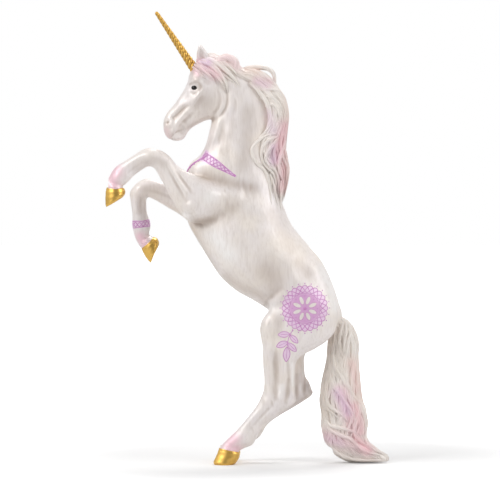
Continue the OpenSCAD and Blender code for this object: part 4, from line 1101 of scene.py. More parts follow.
horn_tree, given, output = new_tree("twisted_horn", (
    ("Foot", "Vector", (0, 0, 0)), ("Way", "Vector", (0, 0, 1)), ("Length", "Float", 0.027),
    ("Foot Radius", "Float", 0.0019), ("Tip Radius", "Float", 0.00072), ("Coils", "Float", 16.5),
    ("Strands", "Float", 3.0), ("Coil Depth", "Float", 0.19), ("Around", "Int", 40), ("Along", "Int", 420)))
tree = horn_tree
rest_grid = add(tree, "GeometryNodeMeshGrid", {
    "Size X": 1.0, "Size Y": 1.0, "Vertices X": given["Around"], "Vertices Y": given["Along"]})
place = add(tree, "ShaderNodeSeparateXYZ", {0: add(tree, "GeometryNodeInputPosition").outputs[0]})
around = sums(tree, "MULTIPLY", place.outputs[0], -2 * math.pi)
along = sums(tree, "ADD", place.outputs[1], 0.5)
taper = sums(tree, "SUBTRACT", 1.0, along)
plain = between(tree, given["Tip Radius"], given["Foot Radius"], taper)
winding = sums(tree, "SUBTRACT", sums(tree, "MULTIPLY", along, sums(tree, "MULTIPLY", given["Coils"], 2 * math.pi)),
               sums(tree, "MULTIPLY", around, given["Strands"]))
swell = ridge(tree, sums(tree, "MULTIPLY", winding, 0.5), COIL_ROUNDNESS)
coil = grooved(tree, given["Coil Depth"], swell)
ends = sums(tree, "MULTIPLY", rounded(tree, taper, TIP_BLUNTNESS), rounded(tree, along, FOOT_BLUNTNESS))
radius = sums(tree, "MULTIPLY", sums(tree, "MULTIPLY", plain, coil), ends)
spot = add(tree, "ShaderNodeCombineXYZ", {
    0: sums(tree, "MULTIPLY", radius, sums(tree, "COSINE", around)),
    1: sums(tree, "MULTIPLY", radius, sums(tree, "SINE", around)),
    2: sums(tree, "MULTIPLY", along, given["Length"])})
# Where the painted shade lies: in the grooves between the coils.
marked = stored(tree, rest_grid.outputs["Mesh"], "groove", sums(
    tree, "SUBTRACT", 1.0, sums(tree, "MINIMUM", sums(tree, "MULTIPLY", swell, 0.9), 1.0)))
bent = add(tree, "GeometryNodeSetPosition", {"Geometry": marked, "Position": spot.outputs[0]})
leaning = add(tree, "FunctionNodeAlignRotationToVector", {"Vector": given["Way"]}, axis="Z")
set_up = add(tree, "GeometryNodeTransform", {
    "Geometry": bent.outputs[0], "Translation": given["Foot"], "Rotation": leaning.outputs[0]})
merged = add(tree, "GeometryNodeMergeByDistance", {"Geometry": set_up.outputs[0], "Distance": SEAM_MERGE_M})
ended(tree, merged.outputs[0], gold_paint("gold_horn_paint", 0.36, 0.46), output)

seat, tip = side_mm(HORN_SEAT_PX), side_mm(HORN_TIP_PX)
way = (tip - seat) / np.linalg.norm(tip - seat)
foot = seat - way * HORN_FOOT_MM
horn = grown("gold_horn", as_object("horn_seat", np.zeros((3, 3)), np.array([(0, 1, 2)])), horn_tree,
             Foot=(foot[0] * MM, 0.0, foot[1] * MM), Way=(way[0], 0.0, way[1]),
             Length=float(np.linalg.norm(tip - foot)) * MM)
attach(horn, "root")
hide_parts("horn")

# Forelock, mane and tail
# Moulded hair in cream plastic: locks that swell from the root and taper to a point, each grooved
# with hairs, with brown wash and painted shade in the grooves, painted shade under the locks and where they lie in
# shadow, and dusted with pink, lilac and peach.
HAIR, HAIR_WARM = (254, 249, 245), (253, 243, 233)
HAIR_SHADE = (196, 174, 153)
HAIR_PINK, STRONG_PINK = (253, 220, 225), (254, 203, 210)
PEACH = (252, 222, 211)
HAIR_STEPS, LOCK_STEPS = 5, 7
RAY_START_MM = 20.0
RISE_SHARE, TIP_POWER, HAIR_ROUNDNESS = 0.25, 2.6, 0.7
STREAKS_TO_M, STREAK_SCALE = 45.0, 3.2
RIVER_PACES, RIVER_STRAY, RIVER_THICKNESS = (1.2, 2.4), 0.15, (0.85, 1.15)
LEAST_RIVER, LEAST_CORE = 0.1, 0.15
rng = np.random.default_rng(7)


def named(tree, name, kind="FLOAT"):
    """A value that the geometry carries under a name."""
    return add(tree, "GeometryNodeInputNamedAttribute", {"Name": name}, data_type=kind).outputs["Attribute"]


hair_tree, given, output = new_tree("hair_locks", (
    ("Hairs", "Int", 5), ("Hair Depth", "Float", 0.16), ("Turns", "Float", 0.8),
    ("Root Share", "Float", 0.55), ("Tip Share", "Float", 0.06), ("Sides", "Int", 20),
    ("Material", "Material", None)))
tree = hair_tree
sorted_out = add(tree, "GeometryNodeSeparateGeometry", {
    "Geometry": given["Geometry"], "Selection": named(tree, "core", "BOOLEAN")})
wires = add(tree, "GeometryNodeMeshToCurve", {"Mesh": sorted_out.outputs["Inverted"]})
part = add(tree, "GeometryNodeSplineParameter")
rise = sums(tree, "MINIMUM", sums(tree, "DIVIDE", part.outputs["Factor"], RISE_SHARE), 1.0)
from_root = between(tree, given["Root Share"], 1.0, rise)
to_tip = sums(tree, "SUBTRACT", 1.0, sums(tree, "POWER", part.outputs["Factor"], TIP_POWER))
fatness = between(tree, given["Tip Share"], 1.0, sums(tree, "MULTIPLY", from_root, to_tip))
swollen = add(tree, "GeometryNodeSetCurveRadius", {
    "Curve": wires.outputs[0], "Radius": sums(tree, "MULTIPLY", named(tree, "thick"), fatness)})
turns = sums(tree, "MULTIPLY", sums(tree, "MULTIPLY", part.outputs["Factor"], given["Turns"]), 2 * math.pi)
tilted = add(tree, "GeometryNodeSetCurveTilt", {
    "Curve": swollen.outputs[0], "Tilt": sums(tree, "ADD", named(tree, "lean"), turns)})
lengths = stored(tree, tilted.outputs[0], "along", part.outputs["Length"])
circle = add(tree, "GeometryNodeCurvePrimitiveCircle", {"Resolution": given["Sides"], "Radius": 1.0})
rim_place = add(tree, "GeometryNodeInputPosition").outputs[0]
rim = add(tree, "ShaderNodeSeparateXYZ", {0: rim_place})
angle = sums(tree, "ARCTAN2", rim.outputs[1], rim.outputs[0])
furrow = ridge(tree, sums(tree, "MULTIPLY", sums(tree, "MULTIPLY", angle, 0.5), given["Hairs"]), HAIR_ROUNDNESS)
ridged = stored(tree, circle.outputs[0], "furrow", sums(tree, "SUBTRACT", 1.0, furrow))
turned = stored(tree, ridged, "rim", rim_place, "FLOAT_VECTOR")
scaled_rim = vectors(tree, "SCALE", a=rim_place, scale=grooved(tree, given["Hair Depth"], furrow))[0]
profile = add(tree, "GeometryNodeSetPosition", {"Geometry": turned, "Position": scaled_rim})
locks = add(tree, "GeometryNodeCurveToMesh", {
    "Curve": lengths, "Profile Curve": profile.outputs[0],
    "Scale": add(tree, "GeometryNodeInputRadius").outputs[0], "Fill Caps": True})
facing = vectors(
    tree, "DOT_PRODUCT", a=add(tree, "GeometryNodeInputNormal").outputs[0], b=named(tree, "outward", "FLOAT_VECTOR"))
# How far each point of a lock faces outward, so that its underside can take painted shade
crowned = stored(tree, locks.outputs[0], "crown", facing["Value"])
whole = add(tree, "GeometryNodeJoinGeometry", {"Geometry": sorted_out.outputs["Selection"]})
tree.links.new(crowned, whole.inputs[0])
ended(tree, whole.outputs[0], given["Material"], output)


def hair_finish(name):
    """Cream plastic hair, with brown wash and painted shade in its grooves, painted shade under its locks, and dusted
    colours on them.
    """
    material, tree, shader = finish(name, roughness=0.4, coat=0.3, coat_roughness=0.25)
    rim = add(tree, "ShaderNodeAttribute", attribute_name="rim")
    along = add(tree, "ShaderNodeAttribute", attribute_name="along")
    lengthways = add(tree, "ShaderNodeCombineXYZ", {2: sums(tree, "MULTIPLY", along.outputs["Fac"], STREAKS_TO_M)})
    run = vectors(tree, "ADD", a=rim.outputs["Vector"], b=lengthways.outputs[0])[0]
    hairs = add(tree, "ShaderNodeTexNoise", {"Vector": run, "Scale": STREAK_SCALE, "Detail": 4.0}).outputs["Fac"]
    # Painted shade: in the furrows between hairs, partly a brown wash, on the lock sides that face inward, and where
    # the shade sprays lie.
    painted(tree, shader, paint(HAIR), (
        (stretched(tree, hairs, 0.35, 0.7), HAIR_WARM), (carried(tree, "pink"), HAIR_PINK),
        (carried(tree, "lilac"), LILAC), (carried(tree, "peach"), PEACH), (carried(tree, "strong_pink"), STRONG_PINK),
        (stretched(tree, hairs, 0.5, 0.36, most=0.21), HAIR_SHADE),
        (carried(tree, "furrow", 0.35, 1.0, 0.19), HAIR_SHADE), (carried(tree, "crown", 0.2, -0.6, 0.1), HAIR_SHADE),
        (carried(tree, "shade", most=0.6), HAIR_SHADE)))
    bumped(tree, shader, hairs, 0.3)
    return material


def lock(path_px, across_mm, thick_mm):
    """One lock: points in millimetres along its middle, its thickness, and which way it faces."""
    path = np.column_stack([side_mm(path_px), np.broadcast_to(across_mm, len(path_px))])[:, [0, 2, 1]]
    path = eased(path, LOCK_STEPS)
    facing = np.sign(path[:, 1]) + (path[:, 1] == 0)
    return path, np.full(len(path), thick_mm / 2), facing[:, None] * np.array([0.0, 1.0, 0.0])


def skin_within(window_px):
    """The part of the skin inside a window of the side view, as points and faces."""
    corners = side_mm(window_px)
    middles = skin_points[skin_faces].mean(axis=1)[:, [0, 2]]
    inside = np.all((middles > corners.min(axis=0)) & (middles < corners.max(axis=0)), axis=1)
    return skin_points, skin_faces[inside]


def bed_of(*skins):
    """What locks can lie on: skins put together, each given as its points and its faces."""
    points, faces = [], []
    for skin_part, *groups in skins:
        faces += [[int(v) + len(points) for v in face] for group in groups for face in group]
        points += np.asarray(skin_part).tolist()
    return BVHTree.FromPolygons(points, faces)


def laid(bed, path_px, side, thick_mm, lift_mm=0.4):
    """A lock that lies on a bed, placed from one side of the figurine, with its tip sunk in."""
    flat = eased(side_mm(path_px), HAIR_STEPS)
    out = []
    for x, z in flat:
        place = bed.ray_cast(Vector((x, side * RAY_START_MM, z)), Vector((0, -side, 0)))[0]
        out.append(np.nan if place is None else max(side * place[1], 0.0))
    out = np.array(out) + lift_mm * (1 - np.linspace(0, 1, len(flat)) ** 3)
    known = np.flatnonzero(~np.isnan(out))
    out = np.interp(np.arange(len(out)), known, out[known])
    for _ in range(4):
        out[1:-1] = (out[:-2] + 2 * out[1:-1] + out[2:]) / 4
    path = np.column_stack([flat[:, 0], side * out, flat[:, 1]])
    return path, np.full(len(path), thick_mm / 2), np.tile((0.0, side, 0.0), (len(path), 1))


def river(outline_px, half_mm, count, thick_mm, sink_mm, span, wave, drift=0.3):
    """Locks that run side by side over a body of hair, from its root to its tip."""
    centre, reach, half = spine(outline_px, half_mm, HAIR_STEPS)
    width = np.linalg.norm(reach, axis=1)
    inset, inset_half = (np.clip((full - sink_mm) / full, LEAST_RIVER, 1) for full in (width, half))
    t = np.linspace(0, 1, len(centre))
    out = []
    for k in range(count):
        phase, pace = rng.uniform(0, 2 * math.pi), rng.uniform(*RIVER_PACES)
        turn = 2 * math.pi * (k + rng.uniform(-RIVER_STRAY, RIVER_STRAY)) / count + drift * t
        turn = turn + wave * np.sin(2 * math.pi * pace * t + phase)
        flat = centre + reach * (np.cos(turn) * inset)[:, None]
        path = np.column_stack([flat[:, 0], half * np.sin(turn) * inset_half, flat[:, 1]])
        along_out = reach / width[:, None] * np.cos(turn)[:, None]
        outward = np.column_stack([along_out[:, 0], np.sin(turn), along_out[:, 1]])
        first, last = rng.uniform(*span[0]), rng.uniform(*span[1])
        chosen = slice(int(first * (len(t) - 1)), int(last * (len(t) - 1)) + 1)
        thick = thick_mm * rng.uniform(*RIVER_THICKNESS) / 2 * np.ones(len(t))
        out.append((path[chosen], thick[chosen], outward[chosen]))
    return out


def hair_core(outline_px, half_mm, sink_mm):
    """The solid body of hair under the locks, which shows between them."""
    centre, reach, half = spine(outline_px, half_mm, HAIR_STEPS)
    width = np.linalg.norm(reach, axis=1)[:, None]
    reach = reach * np.clip((width - sink_mm) / width, LEAST_CORE, 1)
    return closed_skin(ringed(centre, reach, half * np.clip((half - sink_mm) / half, LEAST_CORE, 1)))


def hair_piece(name, node, locks, core, sprays, **sizes):
    """Grows the locks of one piece of hair, dusts it with colour and painted shade and fixes it to the figurine."""
    edges, start = [], 0
    for path, _, _ in locks:
        edges += [(start + k, start + k + 1) for k in range(len(path) - 1)]
        start += len(path)
    faces = [tuple(int(v) + start for v in face) for group in core[1:] for face in group]
    locks = locks + [(core[0], np.zeros(len(core[0])), np.zeros((len(core[0]), 3)))]
    points, thick, outward = (np.concatenate(values) for values in zip(*locks))
    lean = np.concatenate([np.full(len(path), rng.uniform(0, 2 * math.pi)) for path, _, _ in locks])
    base = bpy.data.meshes.new(name + "_wires")
    base.from_pydata((points * MM).tolist(), edges, faces)
    wires = placed(name + "_wires", base)
    keep_values(wires, "core", np.arange(len(points)) >= start, "BOOLEAN")
    keep_values(wires, "thick", thick.astype(np.float32) * MM)
    keep_values(wires, "lean", lean)
    keep_values(wires, "outward", outward, "FLOAT_VECTOR")
    piece = grown(name, wires, hair_tree, Material=hair_finish(name + "_plastic"), **sizes)
    spots = points_of(piece)
    spots[:, 2] = np.maximum(spots[:, 2], 0)
    piece.data.vertices.foreach_set("co", (spots * MM).astype(np.float32).ravel())
    for paint_name, strokes in sprays.items():
        keep_values(piece, paint_name, misted(spots, strokes))
    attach(piece, "root")
    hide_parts(node)


mane_px = [
    [[214, 70], [216, 58.5]], [[221, 73], [224, 57.5]], [[230, 77], [233, 59]], [[240, 80.6], [243, 68]],
    [[250, 85], [254.6, 72]], [[258, 93], [267, 79]], [[263, 103.4], [279.6, 89]], [[266.4, 113], [286, 100]],
    [[266.6, 123.6], [289, 115]], [[261, 133.6], [288, 130]], [[254, 143.6], [287, 144]], [[252, 154], [287.5, 156]],
    [[255.4, 164.4], [290, 168]], [[261, 174.4], [289, 179]], [[267, 185], [287, 189]], [[270.2, 196], [285, 199]],
    [[272.6, 206], [282.6, 207.5]]]
mane_half_mm = [2.0, 3.0, 3.6, 3.9, 4.1, 4.4, 4.8, 5.0, 5.2, 5.4, 5.6, 5.6, 5.2, 4.6, 3.8, 2.8, 1.2]
mane_curls = [
    ([(259.5, 90.7), (268.7, 89.2), (278.9, 91.7), (285, 98.9), (286.4, 108)], 1.5),
    ([(260.5, 97.9), (268.7, 95.8), (275.8, 99.9), (280.9, 106), (284, 116.2), (283.4, 126.4)], 1.6),
    ([(265.6, 106), (272.8, 104), (277.9, 110), (279.9, 120.3), (278.9, 130.5)], 1.6),
    ([(272, 92), (280, 99), (284.6, 109), (286.2, 120), (284, 131), (280, 140)], 1.6),
    ([(268, 112), (272.6, 118), (274, 126), (270, 133), (263, 139)], 1.5),
    ([(275.8, 132.6), (265.6, 135.6), (255.4, 142.8), (251.8, 150.9), (255.4, 161.1), (262.6, 168.3), (269.7, 177.4),
      (271.7, 187.7), (273.8, 197.9)], 1.6),
    ([(277.9, 135.6), (268.7, 139.7), (262.6, 146.8), (261.5, 156), (265.6, 165.2), (272.8, 172.3), (275.8, 182.6),
      (275.8, 192.8)], 1.6),
    ([(278.9, 136.6), (273.8, 142.8), (268.7, 149.9), (265.6, 158), (269.7, 165.2), (275.8, 170.3), (278.9, 179.5),
      (279.9, 190.7)], 1.5),
    ([(283.6, 130), (284, 141), (281.4, 151), (278.9, 162), (279.9, 172.3), (283.4, 182.6), (281.4, 197)], 1.7),
    ([(282.6, 143), (285, 152), (286.6, 162), (286.8, 175), (284, 187.7)], 1.5),
    ([(260, 163), (266, 173), (269.4, 184), (270.4, 194), (271.4, 204)], 1.4),
    ([(270, 173), (273.6, 184), (275.4, 195), (277.6, 206)], 1.5),
    ([(281, 180), (281.4, 192), (280.4, 203), (281, 211)], 1.5)]
mane_locks = river(mane_px, mane_half_mm, 34, 1.8, 0.8, ((0, 0.06), (0.92, 1.0)), wave=0.18)
mane_locks += river(mane_px, mane_half_mm, 26, 1.5, 0.4, ((0.05, 0.5), (0.6, 1.0)), wave=0.34)
HAIR_WINDOW_PX = ((184, 44), (300, 215))
hair_skin = skin_within(HAIR_WINDOW_PX)
mane_bed = bed_of(hair_skin, hair_core(mane_px, mane_half_mm, 0.3))
for side in (NEAR, FAR):
    mane_locks += [
        lock([(215, 62), (222, 58.6), (229, 58), (235, 62), (238, 70), (245, 77), (254, 82)], side * 2.4, 3.4),
        lock([(226, 60), (233, 63), (238, 69), (245, 74), (254, 79), (264, 84), (274, 90)], side * 2.0, 2.6),
        lock([(250, 82), (258, 90), (265, 99), (270, 110), (271, 121), (266, 131), (258, 139), (253.6, 149)],
             side * 4.2, 2.2),
        lock([(243, 72), (252, 71.6), (261, 74.4), (270, 80), (277, 88), (283, 98)], side * 1.4, 2.8)]
    mane_locks += [laid(mane_bed, path_px, side, thick_mm, lift_mm=0.25) for path_px, thick_mm in mane_curls]
mane_locks.append(lock(
    [(236, 74), (243.5, 70), (251, 68), (260, 67.4), (267.5, 68.8), (273, 73), (274.8, 80), (274.6, 88), (278, 98)],
    NEAR * 0.6, 2.2))
hair_piece("moulded_mane", "mane", mane_locks, hair_core(mane_px, mane_half_mm, 0.9), {
    "pink": [([(220, 60), (229, 58), (237, 66)], 6, 0.7), ([(256, 80), (270, 82)], 5, 0.6),
             ([(284, 124), (280, 149), (277, 160)], 6, 0.9), ([(283, 150), (284, 166), (282, 188)], 6, 0.7)],
    "lilac": [([(258, 82), (266, 85)], 5, 0.4), ([(267, 114), (273, 130)], 6, 0.4), ([(274, 147), (273, 160)], 5, 0.6)],
    "peach": [([(246, 70), (258, 70)], 5, 0.5), ([(288, 92), (289, 120)], 6, 0.4),
              ([(288, 150), (289, 168), (285, 190)], 5, 0.4)],
    "strong_pink": [([(286, 128), (281, 142), (279, 150)], 5, 0.55), ([(283, 166), (283, 186)], 5, 0.3)],
    "shade": [([(248, 76), (262, 84)], 7, 0.25)]}, Hairs=4, Hair_Depth=0.18, Turns=1.2, Sides=16)

forelock_locks = []
for side in (NEAR, FAR):
    for (path_px, across_mm, thick_mm) in (
            ([(197, 61), (203, 60), (210, 60.6), (218, 64), (227, 71), (235, 79), (240, 87)],
             (0.6, 1.6, 2.6, 3.4, 4.0, 4.4, 4.2), 2.8),
            ([(196.5, 64), (203, 63.6), (210, 65.4), (217, 70), (223, 77), (226.6, 85), (227.6, 93)],
             (1.2, 2.6, 3.6, 4.4, 4.8, 4.8, 4.3), 2.6),
            ([(196, 67.4), (202, 68), (209, 70), (215, 74), (220, 79.6), (224, 86), (226, 93)],
             (1.6, 3.2, 4.3, 4.9, 5.2, 5.0, 4.5), 2.0),
            ([(200, 58.6), (207, 57.4), (215, 58.4), (223, 62), (231, 68), (238, 76)],
             (0.4, 1.0, 1.8, 2.6, 3.2, 3.8), 2.6),
            ([(202, 57), (206.6, 55.8), (212, 55.8), (220, 58), (228, 63), (236, 70), (243, 78)],
             (0.4, 0.5, 0.7, 1.2, 2.0, 2.8, 3.6), 2.5)):
        forelock_locks.append(lock(path_px, side * np.array(across_mm), thick_mm))
forelock_px = [[[196.4, 69], [198, 58.6]], [[203, 70], [203.6, 56.4]], [[211, 70], [211, 56]], [[218, 72], [220, 58]],
               [[226, 76], [230, 64]], [[234, 82], [238, 73]]]
forelock_half_mm = [1.4, 2.8, 3.6, 4.0, 4.1, 3.8]
forelock_bed = bed_of(hair_skin, hair_core(forelock_px, forelock_half_mm, 0.2))
for side in (NEAR, FAR):
    forelock_locks += [laid(forelock_bed, path_px, side, thick_mm) for path_px, thick_mm in (
        ([(192.6, 66.8), (196.1, 69.1), (199.9, 72.6), (203, 76.4), (206.8, 79.1)], 1.4),
        ([(194.5, 64.5), (199, 66.8), (204, 70.4), (209, 74.6), (213.6, 79.4), (217.4, 84.6)], 1.6),
        ([(196.9, 63), (201.5, 66), (206.8, 69), (212.6, 72.6), (218.3, 77), (222.9, 82.4), (226.2, 87.9),
          (227.5, 93.5)], 1.7),
        ([(200.7, 61.5), (206.8, 63.8), (213.3, 66.4), (220.2, 71.4), (227.9, 77.5), (233.6, 82.1), (237.5, 87.9)],
         1.7))]
hair_piece("moulded_forelock", "forelock", forelock_locks, hair_core(forelock_px, forelock_half_mm, 0.8), {
    "pink": [([(196, 69), (206, 69), (217, 75)], 7, 0.9), ([(216, 58), (228, 62)], 5, 0.4)],
    "lilac": [([(199, 60), (208, 62)], 5, 0.7)],
    "peach": [([(196, 64), (200, 66)], 3, 0.4)],
    "shade": [([(219, 84), (224, 92)], 4, 0.3)]}, Hairs=4, Hair_Depth=0.2, Turns=0.6, Sides=20)

tail_px = [
    [[332, 329], [341, 315]], [[329.6, 335], [349, 321]], [[327.8, 342], [356, 331]], [[327, 351], [359.2, 343]],
    [[326.4, 361], [359, 357]], [[323.5, 374], [359.6, 370]], [[321, 388], [361, 385]], [[319.8, 400], [362.8, 399]],
    [[321.4, 412], [366.8, 411]], [[321.4, 424], [368.4, 422]], [[323, 435], [367, 434]],
    [[325, 443.6], [370.6, 443]], [[331.4, 448.8], [375.2, 446.8]], [[334, 455], [382, 451.8]],
    [[342.6, 460.4], [390.4, 457.6]], [[350, 463], [390, 462]]]
tail_half_mm = [2.2, 3.5, 4.6, 5.0, 5.1, 5.5, 6.0, 6.2, 6.1, 5.9, 6.0, 6.2, 6.0, 5.4, 4.1, 2.8]
tail_curls = [
    ([(342.8, 323.3), (340.2, 332.4), (339.2, 342.7), (341.2, 352.9), (346.3, 360)], 1.6),
    ([(345.8, 323.3), (345.8, 332.4), (344.3, 341.6), (344.3, 350.8), (346.8, 359)], 1.6),
    ([(348.9, 324.3), (349.9, 333.5), (347.9, 342.7), (347.9, 352.9), (349.9, 361), (348.9, 370.2)], 1.6),
    ([(351.9, 326.3), (356, 336.5), (357.6, 346.7), (357, 358), (358, 368.2)], 1.6),
    ([(333, 352), (335, 366), (340.7, 375), (345.8, 383.5), (353, 394.7), (360, 405), (365.2, 416),
      (365.2, 430.4)], 1.8),
    ([(330, 372), (333, 384), (340, 394), (347, 404), (353, 414), (356, 426), (354, 436)], 1.6),
    ([(325, 387.6), (327, 400), (331.5, 407), (339.7, 412), (345.8, 418.2)], 1.8),
    ([(325, 399), (328, 404), (334.6, 409), (341.7, 414), (347.9, 421.2)], 1.7),
    ([(326, 407.6), (329.6, 410), (334.6, 414), (339.7, 419.2)], 1.6),
    ([(324.6, 415), (327, 421), (331.5, 425.3), (340.7, 427.3), (351.9, 430.4), (358, 435.5), (362.1, 442.7)], 1.8),
    ([(327.4, 426.6), (333, 431), (340.7, 434.5), (350.9, 438.6), (358, 445.7), (368.3, 451.8), (380.5, 454.9)], 1.8),
    ([(329, 440), (334.6, 449), (343.8, 455.9), (356, 459), (370.3, 460), (384.6, 460)], 1.8),
    ([(366.2, 428.4), (365.2, 438.6), (370.3, 446.7), (378.5, 451.8), (387.7, 455.9)], 1.6)]
tail_locks = river(tail_px, tail_half_mm, 40, 1.9, 0.85, ((0, 0.03), (0.95, 1.0)), wave=0.18, drift=0.8)
tail_locks += river(tail_px, tail_half_mm, 30, 1.5, 0.5, ((0.05, 0.6), (0.7, 0.98)), wave=0.36, drift=1.1)
tail_bed = bed_of(hair_core(tail_px, tail_half_mm, 0.3))
for side in (NEAR, FAR):
    tail_locks += [laid(tail_bed, path_px, side, thick_mm, lift_mm=0.15) for path_px, thick_mm in tail_curls]
hair_piece("moulded_tail", "tail", tail_locks, hair_core(tail_px, tail_half_mm, 0.8), {
    "pink": [([(342, 392), (348, 412), (354, 432)], 8, 0.85),
             ([(326, 436), (342, 441), (356, 446), (368, 450)], 8, 0.75),
             ([(352, 364), (355, 378), (357, 390)], 4, 0.6)],
    "lilac": [([(337, 392), (343, 402), (348, 411)], 6, 0.6), ([(328, 438), (340, 442)], 5, 0.35)],
    "peach": [([(352, 362), (357, 380), (360, 397)], 7, 0.5)],
    "strong_pink": [([(355, 405), (360, 420), (361, 432)], 4.4, 0.65), ([(357, 438), (367, 449)], 5, 0.65)],
    "shade": [([(331, 336), (329, 352)], 6, 0.6), ([(329, 360), (327, 378), (324, 396), (326, 412)], 7, 0.42),
              ([(337, 336), (340, 352), (338, 370)], 7, 0.36),
              ([(336, 456), (350, 461), (372, 462)], 4, 0.28)]},
    Hairs=4, Hair_Depth=0.18, Turns=1.2, Sides=16, Tip_Share=0.3)

# Markings
# Raised lines and dots of violet paint, printed by pad over the lilac fills once the figurine is together:
# a plaited wreath round a flower, a sprig of leaves, a twist on the shoulder, a collar and an anklet.
VIOLET = (204, 138, 196)
LINE_MM = 0.2
LINE_SUNK_MM = 0.09
DOT_MM = 0.3
FINE_LINE, THIN_LINE, VEIN_LINE, THICK_LINE = 0.9, 0.75, 0.7, 2.2  # Shares of a line's thickness
DOTS_OUT_PX, INNER_DOTS_PX, HEART_SHARE = 1.9, 12.6, 2.6
DISC_EDGE_PX = 0.5
TWIST_WAVES, TWIST_PACE, TWIST_SHARE = 3.2, 0.85, 0.7
COLLAR_DOT_SHIFT_MM = (-0.3, 0, -0.9)
ANKLET_PX, ANKLET_MM, ANKLET_TILT = 11, 4.4, 0.12
ANKLET_SWAY_PX, ANKLET_WAVES = 2.3, 6
MARKING_WINDOW_PX = ((120, 145), (335, 365))

marking_tree, given, output = new_tree("painted_lines", (
    ("Sides", "Int", 8), ("Dot Detail", "Int", 2), ("Material", "Material", None)))
tree = marking_tree
apart = add(tree, "GeometryNodeSeparateGeometry", {
    "Geometry": given["Geometry"], "Selection": named(tree, "dot", "BOOLEAN")})
wide = named(tree, "wide")
upright = add(tree, "FunctionNodeAlignRotationToVector", {"Vector": named(tree, "outward", "FLOAT_VECTOR")}, axis="Z")
bead = add(tree, "GeometryNodeMeshIcoSphere", {"Radius": 1.0, "Subdivisions": given["Dot Detail"]})
dots = add(tree, "GeometryNodeInstanceOnPoints", {
    "Points": apart.outputs["Selection"], "Instance": bead.outputs["Mesh"],
    "Rotation": upright.outputs[0], "Scale": wide})
traced = add(tree, "GeometryNodeMeshToCurve", {"Mesh": apart.outputs["Inverted"]})
widened = add(tree, "GeometryNodeSetCurveRadius", {"Curve": traced.outputs[0], "Radius": wide})
brush = add(tree, "GeometryNodeCurvePrimitiveCircle", {"Resolution": given["Sides"], "Radius": 1.0})
lines = add(tree, "GeometryNodeCurveToMesh", {
    "Curve": widened.outputs[0], "Profile Curve": brush.outputs[0],
    "Scale": add(tree, "GeometryNodeInputRadius").outputs[0], "Fill Caps": True})
together = add(tree, "GeometryNodeJoinGeometry", {"Geometry": lines.outputs[0]})
tree.links.new(dots.outputs[0], together.inputs[0])
ended(tree, together.outputs[0], given["Material"], output)

violet_finish, tree, shader = finish("violet_print", roughness=0.45, coat=0.2, coat_roughness=0.3)
patchy = stretched(tree, grain(tree, 420.0), 0.4, 0.75, most=0.5)
painted(tree, shader, paint(VIOLET), [(patchy, LILAC)])

printed_on = bed_of(skin_within(MARKING_WINDOW_PX))
drawn = []


def mark(points_mm, size_mm, dots=False, closed=False, side=None):
    """Lays a line or a row of dots on the skin, straight in from one side or at the nearest place."""
    spots, ways = [], []
    for point in points_mm:
        if side is None:
            place, way, _, _ = printed_on.find_nearest(Vector(point))
        else:
            start = Vector((point[0], side * RAY_START_MM, point[2]))
            place, way, _, _ = printed_on.ray_cast(start, Vector((0, -side, 0)))
        if place is None:
            continue
        spots.append(place - way * (size_mm * 0.5 if dots else LINE_SUNK_MM))
        ways.append(way)
    if closed:
        spots, ways = spots + spots[:1], ways + ways[:1]
    drawn.append((np.array(spots), np.array(ways), size_mm, dots))


def in_side_view(path_px):
    """A path of the side view, as points along the figurine's middle."""
    flat = side_mm(path_px)
    return np.column_stack([flat[:, 0], np.zeros(len(flat)), flat[:, 1]])


def loop_px(radius_px, count=180):
    """A closed path about the medallion's middle, with its radius, or its radius at each angle."""
    angle = full_turn(count)
    radius = radius_px(angle) if callable(radius_px) else radius_px
    return np.column_stack([MEDALLION_PX[0] + radius * np.cos(angle), MEDALLION_PX[1] - radius * np.sin(angle)])


